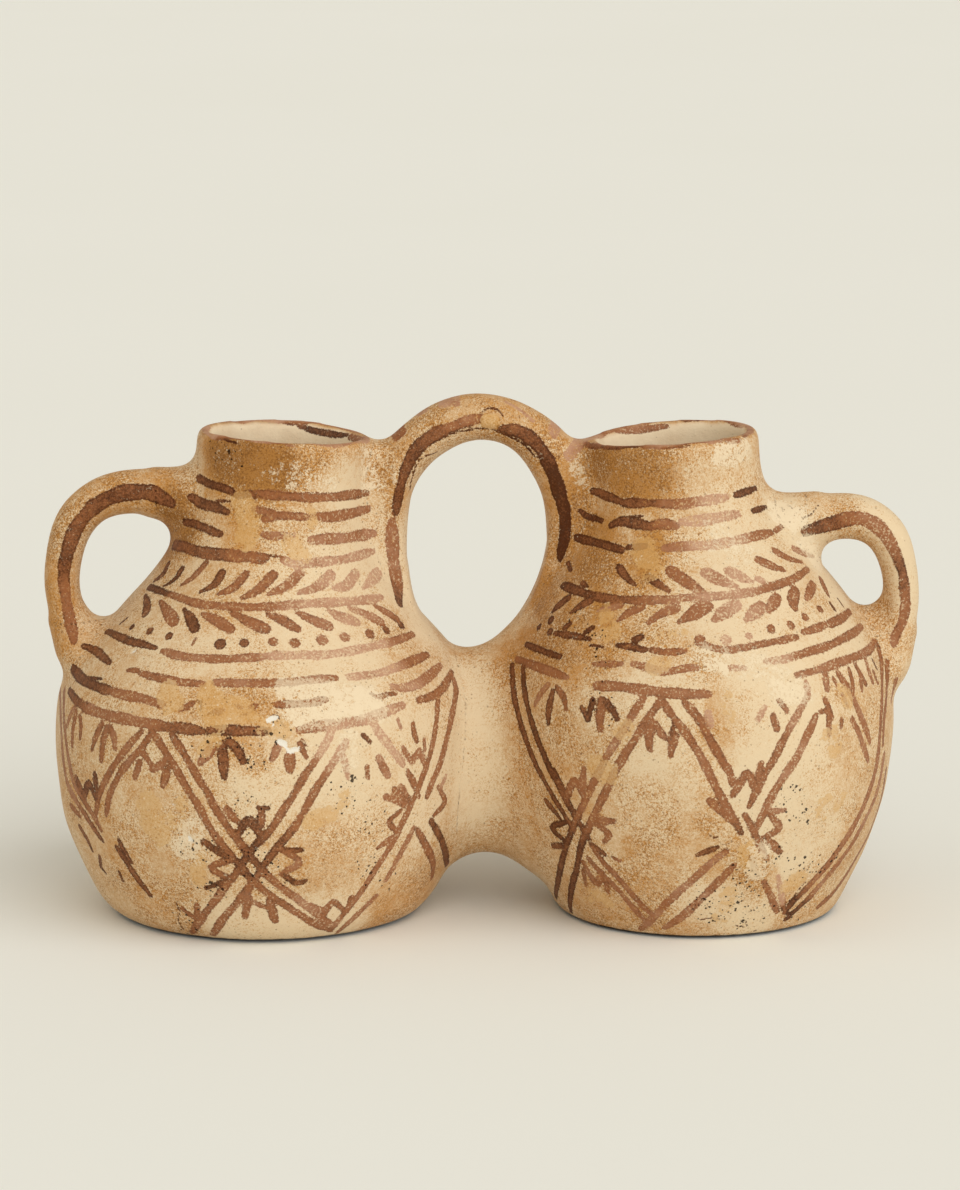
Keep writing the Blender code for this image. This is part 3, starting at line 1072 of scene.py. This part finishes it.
WHITE_CHIPS = """
1.0 1 268,720 275,718
0.5 1 273,724 273,731
1.1 1 280,742 285,744
0.9 1 289,751 299,749
0.7 1 131,652 135,650
0.8 1 189,838 191,841
0.4 1 172,804 176,805
0.4 1 256,848 258,849
0.4 1 267,867 268,868
"""
print("age marks:", line_count(OCHRE_STAINS, PALE_SMEARS, PIT_CLUSTERS, WHITE_CHIPS))


# %% Carry the marks onto the skin
def marks_on_skin(text, back=True):
    """The chains of balls for a block of marks, with their strengths; the back gets them mirrored."""
    chains = []
    for line in text.strip().split("\n"):
        size, strength, *marks = line.split()
        path = smooth_path([mark.split(",") for mark in marks])
        places = np.array([place for place in (on_skin(x, y) for x, y in path) if place])
        if not len(places):
            continue
        radii = np.full(len(places), float(size) * MM)
        chains.append((places, radii, float(strength)))
        if back:
            chains.append((places * (1, -1, 1), radii, float(strength)))
    return chains


gold_and_painted_shade = marks_on_skin(GOLD_TONE_AND_PAINTED_SHADE) + lips
cream_and_painted_light = marks_on_skin(CREAM_BLOOM_AND_PAINTED_LIGHT)
stains = marks_on_skin(OCHRE_STAINS)
smears = marks_on_skin(PALE_SMEARS)
pits = marks_on_skin(PIT_CLUSTERS, back=False)
chips = marks_on_skin(WHITE_CHIPS, back=False)
print(len(stains), "stains,", len(smears), "smears,", len(pits), "pit clusters,", len(chips), "chips")


# %% Measure how far each point is from a chain
STRENGTH_REACH = 0.35
SOFT_HEART = 0.4
NO_LENGTH = 1e-12
TINY = 1e-9


class Field:
    """Many places in space, kept in order of X so that a chain only meets the places beside it."""

    def __init__(self, places):
        self.order = np.argsort(places[:, 0])
        self.places = places[self.order]

    def beside(self, balls, margin):
        """The numbers of the places in a box round a chain."""
        low = balls.min(axis=0) - margin
        high = balls.max(axis=0) + margin
        first, last = np.searchsorted(self.places[:, 0], (low[0], high[0]))
        part = self.places[first:last, 1:]
        return first + np.flatnonzero(((part > low[1:]) & (part < high[1:])).all(axis=1))

    def gaps(self, near, balls, radii):
        """The distance of each numbered place from the surface of a chain of balls."""
        if len(balls) == 1:
            return np.linalg.norm(self.places[near] - balls[0], axis=1) - radii[0]
        runs = balls[1:] - balls[:-1]
        length = np.maximum((runs**2).sum(axis=1), NO_LENGTH)
        away = self.places[near][None] - balls[:-1, None]
        along = np.clip((away * runs[:, None]).sum(axis=2) / length[:, None], 0, 1)
        gap = np.linalg.norm(away - along[..., None] * runs[:, None], axis=2)
        gap -= radii[:-1, None] + along * (radii[1:] - radii[:-1])[:, None]
        return gap.min(axis=0)

    def sorted_back(self, values):
        """Values in the order in which the places came."""
        back = np.empty_like(values)
        back[self.order] = values
        return back

    def edges(self, chains, reach):
        """For each place, how far the nearest chain's edge is, and the mean strength of chains there."""
        edge = np.full(len(self.places), reach)
        strength = np.zeros(len(self.places))
        weight = np.full(len(self.places), TINY)
        for balls, radii, amount in chains:
            near = self.beside(balls, radii.max() + reach)
            gap = self.gaps(near, balls, radii)
            edge[near] = np.minimum(edge[near], gap)
            share = np.exp(-gap / (STRENGTH_REACH * reach))
            weight[near] += share
            strength[near] += share * amount
        return self.sorted_back(edge), self.sorted_back(strength / weight)

    def softness(self, chains):
        """A strength at each place that is full in the middle of a mark and fades to its edge."""
        field = np.zeros(len(self.places))
        for balls, radii, amount in chains:
            near = self.beside(balls, radii.max() * (1 + SOFT_HEART))
            fade = np.clip(1 - self.gaps(near, balls, radii * SOFT_HEART) / radii.max(), 0, 1)
            field[near] = np.maximum(field[near], amount * fade * fade * (3 - 2 * fade))
        return self.sorted_back(field)


skin_field = Field(skin_points)
print("field over", len(skin_points), "points of the skin")

# %% Hollow the chips and raise the blister
EDGE_REACH = 1.5 * MM
CHIP_DEPTH = 0.5 * MM
CHIP_SLOPE = 0.8 * MM
BLISTER = "2.2 1 487,421 493,421"
BLISTER_RISE = 0.7 * MM
BLISTER_SLOPE = 0.9 * MM

chip_edge, _ = skin_field.edges(chips, EDGE_REACH)
hollow = np.clip(0.5 - chip_edge / CHIP_SLOPE, 0, 1)
blister_edge, _ = skin_field.edges(marks_on_skin(BLISTER, back=False), EDGE_REACH)
swollen = np.clip(0.5 - blister_edge / BLISTER_SLOPE, 0, 1)
skin_points += skin_normals * (swollen * BLISTER_RISE - hollow * CHIP_DEPTH)[:, None]
print("points hollowed by chips:", int((hollow > 0).sum()))
print("points raised by the blister:", int((swollen > 0).sum()))

# %% [markdown]
# ## Fourteen pieces from one skin
# The library keeps the vase as the pieces that a potter joins, so the skin is cut back into them.
# The handles, the arch and the saddle are what stands clear of a thin layer round each jar's wall.
# The jars are what is left, and flat cuts that run inside the clay part floor, belly and neck.
# Every cut is a Boolean with a closed cutter, so each piece is closed, and the outer surface stays one.

# %% Part the straps and the saddle from the jars
JOINT_LAYER = 1.2 * MM
CRUMB_SHARE = 0.05


def mesh_object(name, points, faces):
    """A new mesh object from points and faces."""
    mesh = bpy.data.meshes.new(name)
    mesh.from_pydata(points.tolist(), [], faces.tolist())
    mesh.update()
    return placed(name, mesh)


def jar_layer(side):
    """A closed shell that holds one jar's wall and a thin layer round it."""
    points, corners = joined([side + "_floor", side + "_belly", side + "_neck"])
    grown, quads = offset_surface(points, JOINT_LAYER, triangles=corners)
    return mesh_object(side + "_layer", grown, quads)


def carved(name, base, operation, *cutters):
    """A new object: the base after a Boolean with each cutter."""
    made = placed(name, base.data)
    for cutter in cutters:
        cut = made.modifiers.new("cut", "BOOLEAN")
        cut.object = cutter
        cut.operation = operation
        cut.solver = "MANIFOLD"
    finished = made.evaluated_get(bpy.context.evaluated_depsgraph_get())
    made.data = bpy.data.meshes.new_from_object(finished)
    made.modifiers.clear()
    return made


def without_crumbs(mesh):
    """Takes loose crumbs of clay out of a mesh and leaves its large bodies."""
    shape = bmesh.new()
    shape.from_mesh(mesh)
    unseen = set(shape.verts)
    crumbs = []
    while unseen:
        body = [unseen.pop()]
        for vert in body:
            fresh = {edge.other_vert(vert) for edge in vert.link_edges} & unseen
            unseen -= fresh
            body.extend(fresh)
        if len(body) < CRUMB_SHARE * len(shape.verts):
            crumbs.extend(body)
    bmesh.ops.delete(shape, geom=crumbs, context="VERTS")
    shape.to_mesh(mesh)
    shape.free()
    return len(crumbs)


skin = mesh_object("skin", skin_points, skin_quads)
layers = [jar_layer(side) for side in ("left", "right")]
added_clay = carved("added_clay", skin, "DIFFERENCE", *layers)
crumbs = without_crumbs(added_clay.data)
jars = carved("jars", skin, "DIFFERENCE", added_clay)
print("jars have", len(jars.data.vertices), "points")
print("added clay has", len(added_clay.data.vertices), "points, without", crumbs, "in crumbs")

# %% Cut the pieces
FAR = 0.4
MIDDLE = 2 * MM
FLOOR_CUT = 8.15 * MM
LEFT_NECK_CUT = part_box("left_neck")[0][2]
RIGHT_NECK_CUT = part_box("right_neck")[0][2]
ARCH_CUT = 104 * MM
HANDLE_CUT = 90 * MM
UPPER_LUTE_CUT = 111 * MM
LEFT_LOWER_LUTE_CUT = 101 * MM
RIGHT_LOWER_LUTE_CUT = 97 * MM
LUTE_PARTING = 120 * MM


def block(x=(-FAR, FAR), z=(-FAR, FAR)):
    """A box cutter that is open-ended in every direction that is not named."""
    shape = bmesh.new()
    bmesh.ops.create_cube(shape, size=1)
    for vert in shape.verts:
        vert.co = (x[vert.co.x > 0], math.copysign(FAR, vert.co.y), z[vert.co.z > 0])
    return placed("block", mesh_from("block", shape))


LEFT_SIDE = (-FAR, MIDDLE)
RIGHT_SIDE = (MIDDLE, FAR)
CUTS = {
    "left_floor": (jars, LEFT_SIDE, (-FAR, FLOOR_CUT)),
    "left_belly": (jars, LEFT_SIDE, (FLOOR_CUT, LEFT_NECK_CUT)),
    "left_neck": (jars, LEFT_SIDE, (LEFT_NECK_CUT, FAR)),
    "right_floor": (jars, RIGHT_SIDE, (-FAR, FLOOR_CUT)),
    "right_belly": (jars, RIGHT_SIDE, (FLOOR_CUT, RIGHT_NECK_CUT)),
    "right_neck": (jars, RIGHT_SIDE, (RIGHT_NECK_CUT, FAR)),
    "bridge": (added_clay, (-HANDLE_CUT, HANDLE_CUT), (-FAR, ARCH_CUT)),
    "arch": (added_clay, (-HANDLE_CUT, HANDLE_CUT), (ARCH_CUT, FAR)),
    "left_handle_upper_lute": (added_clay, (-UPPER_LUTE_CUT, -HANDLE_CUT), (LUTE_PARTING, FAR)),
    "left_handle_lower_lute": (added_clay, (-FAR, -HANDLE_CUT), (-FAR, LEFT_LOWER_LUTE_CUT)),
    "right_handle_upper_lute": (added_clay, (HANDLE_CUT, UPPER_LUTE_CUT), (LUTE_PARTING, FAR)),
    "right_handle_lower_lute": (added_clay, (HANDLE_CUT, FAR), (-FAR, RIGHT_LOWER_LUTE_CUT)),
}
pieces = {}
for name, (base, x, z) in CUTS.items():
    pieces[name] = carved(name, base, "INTERSECT", block(x, z))
for side, reach in (("left", (-FAR, -HANDLE_CUT)), ("right", (HANDLE_CUT, FAR))):
    lutes = [pieces[side + "_handle_upper_lute"], pieces[side + "_handle_lower_lute"]]
    half = carved(side + "_half", added_clay, "INTERSECT", block(reach))
    pieces[side + "_handle"] = carved(side + "_handle", half, "DIFFERENCE", *lutes)
for thing in list(bpy.context.scene.objects):
    helper = thing not in pieces.values() and thing not in frame["nodes"].values()
    if helper and thing.type == "MESH":
        bpy.data.objects.remove(thing)
for name, piece in pieces.items():
    print(name, len(piece.data.vertices), "points")

# %% [markdown]
# ## Paint, age and painted light and shade as numbers on the points
# A shader cannot follow hundreds of brush paths, so each point of the mesh keeps a few numbers instead.
# The main one is how far the point is from the edge of the nearest touch, in mm, negative inside it.
# The shader then decides where the slip ends, so the edge can be ragged and finer than the mesh.

# %% Store the numbers
BRUSH_REACH = 3.0 * MM
CREASE_ANGLE = math.radians(32)
LEAN_START = 65 * MM
LEAN_TOP = 165.5 * MM
LEAN_POWER = 1.4
LINING_TURN = 1.6


def mouth_lining(places, normals, side):
    """How much each place faces the jar's own axis from inside: 1 on the inner wall, 0 outside."""
    foot, lean = JAR_AXES[side]
    share = np.clip((places[:, 2] - LEAN_START) / (LEAN_TOP - LEAN_START), 0, 1) ** LEAN_POWER
    outward = places[:, :2] - np.stack([foot + lean * share, np.zeros(len(places))], axis=1)
    outward /= np.maximum(np.linalg.norm(outward, axis=1), TINY)[:, None]
    facing = (normals[:, :2] * outward).sum(axis=1)
    return np.clip(0.5 - facing * LINING_TURN, 0, 1)


all_places = []
linings = []
for name, piece in pieces.items():
    mesh = piece.data
    mesh.polygons.foreach_set("use_smooth", np.ones(len(mesh.polygons), bool))
    mesh.set_sharp_from_angle(angle=CREASE_ANGLE)
    places = np.empty(len(mesh.vertices) * 3, np.float32)
    mesh.vertices.foreach_get("co", places)
    places = places.reshape(-1, 3).astype(float)
    normals = np.empty(len(mesh.vertices) * 3, np.float32)
    mesh.vertex_normals.foreach_get("vector", normals)
    all_places.append(places)
    side, _, kind = name.partition("_")
    inner = np.zeros(len(places))
    if kind in ("floor", "belly", "neck"):
        inner = mouth_lining(places, normals.reshape(-1, 3), side)
    linings.append(inner)
field = Field(np.vstack(all_places))
edge, load = field.edges(brushwork, BRUSH_REACH)
kept = {
    "brush": edge / MM,
    "load": load,
    "bloom": field.softness(cream_and_painted_light) - field.softness(gold_and_painted_shade),
    "stain": field.softness(stains),
    "smear": field.softness(smears),
    "pitted": field.softness(pits),
    "chip": field.edges(chips, BRUSH_REACH)[0] / MM,
    "lining": np.concatenate(linings) * (1 - field.softness(lips)),
}
first = 0
for piece in pieces.values():
    last = first + len(piece.data.vertices)
    for name, values in kept.items():
        layer = piece.data.attributes.new(name, "FLOAT", "POINT")
        layer.data.foreach_set("value", values[first:last].astype(np.float32))
    first = last
print("numbers stored on", len(pieces), "pieces")

# %% [markdown]
# ## Writing shaders as sums
# A material is a net of nodes. Wiring it by hand hides the idea, so one small class wraps a socket.
# Python's plus, minus and times then add the Math nodes, and one method adds every other node.

# %% A socket that can be used in sums
PORE_SIZE = 0.4
PORE_EDGE = 0.06
PORE_SHARE_EDGE = 0.05


class Wire:
    """A value that flows through a material's nodes."""

    def __init__(self, finish, socket):
        self.finish = finish
        self.socket = socket

    def __add__(self, other):
        return self.finish.maths("ADD", self, other)

    def __sub__(self, other):
        return self.finish.maths("SUBTRACT", self, other)

    def __mul__(self, other):
        return self.finish.maths("MULTIPLY", self, other)

    def __rsub__(self, other):
        return self.finish.maths("SUBTRACT", other, self)

    __radd__ = __add__
    __rmul__ = __mul__

    def sibling(self, output):
        """Another output of the same node."""
        return Wire(self.finish, self.socket.node.outputs[output])

    def ramp(self, low, high):
        """0 below low, 1 above high, and smooth between them."""
        inputs = {"Value": self, "From Min": low, "From Max": high}
        return self.finish.node("ShaderNodeMapRange", {"interpolation_type": "SMOOTHSTEP"}, inputs)


class Finish:
    """A material that is built node by node."""

    def __init__(self, name):
        self.material = bpy.data.materials.new(name)
        self.material.use_nodes = True
        self.tree = self.material.node_tree
        self.shader = self.tree.nodes["Principled BSDF"]

    def feed(self, socket, value):
        """Links a wire to a socket, or sets a plain value on it."""
        if isinstance(value, Wire):
            self.tree.links.new(value.socket, socket)
        else:
            socket.default_value = value

    def node(self, kind, settings, inputs, output=0):
        """Adds a node: its settings first, then its inputs; gives back one of its outputs."""
        made = self.tree.nodes.new(kind)
        for key, value in settings.items():
            setattr(made, key, value)
        for key, value in inputs.items():
            self.feed(made.inputs[key], value)
        return Wire(self, made.outputs[output])

    def maths(self, operation, first, second):
        return self.node("ShaderNodeMath", {"operation": operation}, {0: first, 1: second})

    def mix(self, factor, first, second):
        """A colour between two colours."""
        settings = {"data_type": "RGBA"}
        return self.node("ShaderNodeMix", settings, {0: factor, 6: first, 7: second}, 2)

    def kept(self, name):
        """A number that is stored on the points of the mesh."""
        return self.node("ShaderNodeAttribute", {"attribute_name": name}, {}, "Fac")

    def places(self, size, shift=0.0):
        """The object's own coordinates, so scaled that one unit is that many mm."""
        coordinates = self.node("ShaderNodeTexCoord", {}, {}, "Object")
        scale = [1 / (size * MM)] * 3
        inputs = {"Vector": coordinates, "Scale": scale, "Location": (shift, shift, shift)}
        return self.node("ShaderNodeMapping", {}, inputs)

    def noise(self, size, detail=3.0, shift=0.0, roughness=0.5):
        """Cloudy noise whose lumps are about that many mm across, centred on zero."""
        inputs = {
            "Vector": self.places(size, shift),
            "Scale": 1.0,
            "Detail": detail,
            "Roughness": roughness,
        }
        return self.node("ShaderNodeTexNoise", {}, inputs) - 0.5

    def pores(self, size, share, shift, jagged):
        """Small ragged holes in a share of the cells of a random grid: 1 in a hole, 0 elsewhere."""
        inputs = {"Vector": self.places(size, shift), "Scale": 1.0}
        middle = self.node("ShaderNodeTexVoronoi", {}, inputs)
        tint = self.node("ShaderNodeSeparateColor", {}, {0: middle.sibling("Color")})
        hole = 1 - (middle + jagged - tint * PORE_SIZE).ramp(-PORE_EDGE, PORE_EDGE)
        return hole * (share - tint.sibling(1)).ramp(0.0, PORE_SHARE_EDGE)

    def set(self, **values):
        """Feeds the shader's own sockets."""
        for key, value in values.items():
            self.feed(self.shader.inputs[key.replace("_", " ").title()], value)


def colour(red, green, blue):
    """A linear colour from the 0 to 255 values that a colour picker shows."""
    linear = [((v / 255 + 0.055) / 1.055) ** 2.4 for v in (red, green, blue)]
    return (*linear, 1.0)


print("shader helpers ready")

# %% [markdown]
# ## The clay and its slip
# The body is a clay that fired golden, and a cream bloom lies over it as a fine powder.
# Where the bloom is thick it covers the gold, and where it is thin it breaks up into specks.
# So one number says how thick it is, and fine noise decides, speck by speck, what is covered. That
# number also carries painted light and shade: more cream where light falls, more gold where shade falls.
# The brown slip is a thin film, darkest where the brush was full, and rubbed off in flecks.
# Wet slip runs to the edge of a stroke before it dries, so the edges are a little darker.
# Pits, grain and film go into a Bump node as well, so they catch the light.

# %% Mix the clay
GOLD = colour(186, 132, 67)
DEEP_GOLD_AND_SHADE = colour(108, 66, 29)
CREAM = colour(221, 199, 164)
POWDER = colour(230, 213, 183)
LINING = colour(236, 218, 188)
OCHRE = colour(203, 159, 98)
SLIP_DARK = colour(68, 29, 9)
SLIP_RED = colour(147, 92, 57)
SLIP_FAINT = colour(187, 145, 117)
PLASTER = colour(228, 222, 208)
PIT_AND_SHADOW_BROWN = colour(24, 9, 3)
# Height in mm of the painted contact shadow round the bottom of each foot.
PAINTED_FOOT_SHADOW = 0.9
BUMP_STRENGTH = 0.6
BUMP_HEIGHT = 0.35 * MM
SPECULAR = 0.08
ROUGHNESS = {"painted_clay": 0.50, "bare_clay": 0.56, "soft_clay": 0.54}


def clay(name, roughness):
    """Golden clay with cream bloom, painted light and shade, brown slip, stains, smears, pits, chips and
    a painted contact shadow round the foot.
    """
    finish = Finish(name)
    brush, load, bloom, stain, smear, pitted, chip, lining = (finish.kept(name) for name in kept)

    clouds = finish.noise(34, 3)
    blotches = finish.noise(9, 5, 3.1, 0.6)
    crumbs = finish.noise(3.2, 5, 5.2, 0.6)
    sand = finish.noise(0.9, 2, 1.3)
    grain = finish.noise(0.42, 1, 7.7)
    grit = finish.noise(0.62, 2, 4.9, 0.6)
    rough = (finish.noise(14, 3, 8.8) + 0.1 - lining).ramp(-0.1, 0.25)

    # The cream cover carries painted light and shade from the cream and gold marks, as well as the bloom
    # itself.
    cover = 0.60 + bloom * 0.48 + clouds * 0.6 + blotches * 0.8 + crumbs * 0.8
    cover = cover + (sand * 1.2 + grain * 1.6) * (0.5 + rough)
    cream_share = cover.ramp(-0.1, 1.1)
    body = finish.mix(cream_share, GOLD, CREAM)
    # Painted shade: where the gold marks are strongest, deep gold darkens the clay.
    deep_gold_and_painted_shade = (0 - bloom).ramp(0.6, 1.6)
    body = finish.mix(deep_gold_and_painted_shade * 0.5, body, DEEP_GOLD_AND_SHADE)
    # Dark gritty specks, with more of them where the gold marks hold painted shade.
    dirt_and_painted_shade = (rough * 0.14 - bloom * 0.09 - grit - 0.10).ramp(0.0, 0.16) * (1 - cream_share)
    body = finish.mix(dirt_and_painted_shade * 0.6, body, DEEP_GOLD_AND_SHADE)
    crust = (stain * 0.85 + blotches * 1.3 + crumbs * 1.5 + sand * 0.5).ramp(0.46, 0.56)
    body = finish.mix(crust * 0.55, body, OCHRE)
    flaked = (smear * 0.9 + blotches * 0.8 + crumbs * 1.5 + sand * 1.2 + grain * 0.8).ramp(0.34, 0.68)
    body = finish.mix(flaked * 0.6, body, POWDER)
    body = finish.mix(lining * (0.9 + blotches * 0.6), body, LINING)
    body = finish.mix(finish.pores(1.0, rough * 0.35, 4.4, grit * 0.5) * 0.5, body, POWDER)

    ragged = brush + crumbs * 0.7 + sand * 1.0 + grain * 0.6
    film = 1 - ragged.ramp(-0.2, 0.2)
    worn = (finish.noise(0.8, 3, 9.4, 0.65) + crumbs * 0.4 + load * 0.22 + 0.08).ramp(0.02, 0.20)
    slip = finish.mix((load + blotches * 0.7).ramp(0.32, 0.68), SLIP_FAINT, SLIP_RED)
    pooled = ragged.ramp(-1.1, -0.3)
    burnt = (load + pooled * 0.18 + crumbs * 0.7 + grit * 1.1).ramp(0.64, 1.34)
    slip = finish.mix(burnt, slip, SLIP_DARK)
    painted = film * (0.25 + worn * 0.75) * (1 - flaked * 0.6) * (1 - crust * 0.7)
    body = finish.mix(painted * 0.95, body, slip)

    specks = finish.pores(0.9, 0.06 + rough * 0.16, 6.6, grit * 0.5)
    body = finish.mix(specks * 0.45, body, DEEP_GOLD_AND_SHADE)
    holes = finish.pores(1.1, pitted * 0.6 + 0.01, 2.2, grit * 0.8)
    holes = holes + finish.pores(1.9, pitted * 0.3, 5.5, grit * 0.7)
    holes = holes.ramp(0.0, 1.0)
    body = finish.mix(holes * 0.9, body, PIT_AND_SHADOW_BROWN)
    broken = 1 - (chip + sand * 1.2 + crumbs * 0.8).ramp(-0.15, 0.15)
    body = finish.mix(broken, body, PLASTER)
    # Painted contact shadow: a near-black band, ragged with noise, round the bottom of each foot.
    foot = finish.node("ShaderNodeSeparateXYZ", {}, {0: finish.places(1)}, "Z")
    body = finish.mix(1 - (foot + crumbs).ramp(PAINTED_FOOT_SHADOW, PAINTED_FOOT_SHADOW * 1.8), body, PIT_AND_SHADOW_BROWN)

    height = grain * 0.4 + sand * 0.5 + crumbs * 0.8 + film * 0.2 + crust * 0.25 + flaked * 0.3
    height = height - holes * 1.5 - specks * 0.4
    inputs = {"Strength": BUMP_STRENGTH, "Distance": BUMP_HEIGHT, "Height": height}
    bump = finish.node("ShaderNodeBump", {}, inputs, "Normal")
    shine = roughness + sand * 0.3 + broken * 0.2
    finish.set(base_color=body, roughness=shine, normal=bump)
    finish.shader.inputs["Specular IOR Level"].default_value = SPECULAR
    return finish.material


FINISHES = {name: clay(name, roughness) for name, roughness in ROUGHNESS.items()}
SLOTS = {name: "painted_clay" for name in pieces}
SLOTS.update({name: "soft_clay" for name in LUTES})
SLOTS.update({name: "bare_clay" for name in ("left_floor", "right_floor", "bridge")})
for name, piece in pieces.items():
    piece.data.materials.clear()
    piece.data.materials.append(FINISHES[SLOTS[name]])
    piece.name = name + "_clay"
    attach(piece, "root")
    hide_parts(name)
print("finishes on", len(pieces), "pieces")

# %% [markdown]
# ## The studio
# The photograph has a pale seamless ground, one broad soft light high on the right, and soft fill.
# A sun with a wide disc lights the ground evenly, so the ground stays one tone right up to its far edge.
# A second, weaker sun stands in for a white card on the left, and the sky fills the rest.
# Together they give a plain level, at which a colour renders about as it is written.

# %% Ground and lights
GROUND_TONE = colour(239, 241, 237)
GROUND_MOTTLE = colour(237, 239, 234)
GROUND_LUMPS = 400
GROUND_ROUGHNESS = 0.9
GROUND_SIZE = 14.0
GROUND_CELLS = 8
LAMPS = {
    "soft_key": (1.75, math.radians(70), (math.radians(56), 0, math.radians(39))),
    "white_card": (0.45, math.radians(90), (math.radians(76), 0, math.radians(-50))),
}
SKY_STRENGTH = 0.57
SKY_TONE = (1.0, 0.92, 0.78, 1.0)

ground_shape = bmesh.new()
bmesh.ops.create_grid(
    ground_shape, x_segments=GROUND_CELLS, y_segments=GROUND_CELLS, size=GROUND_SIZE / 2
)
ground = placed("ground", mesh_from("ground", ground_shape))
ground_finish = Finish("ground_paper")
mottle = ground_finish.noise(GROUND_LUMPS, 2) + 0.5
paper = ground_finish.mix(mottle, GROUND_TONE, GROUND_MOTTLE)
ground_finish.set(base_color=paper, roughness=GROUND_ROUGHNESS)
ground.data.materials.append(ground_finish.material)

for name, (strength, disc, turn) in LAMPS.items():
    lamp_data = bpy.data.lights.new(name, "SUN")
    lamp_data.energy = strength
    lamp_data.angle = disc
    lamp = placed(name, lamp_data)
    lamp.rotation_euler = turn

sky = bpy.data.worlds.new("soft_sky")
sky.use_nodes = True
sky.node_tree.nodes["Background"].inputs["Color"].default_value = SKY_TONE
sky.node_tree.nodes["Background"].inputs["Strength"].default_value = SKY_STRENGTH
bpy.context.scene.world = sky
bpy.context.scene.view_settings.view_transform = "Standard"
print("ground,", len(LAMPS), "suns and sky ready")
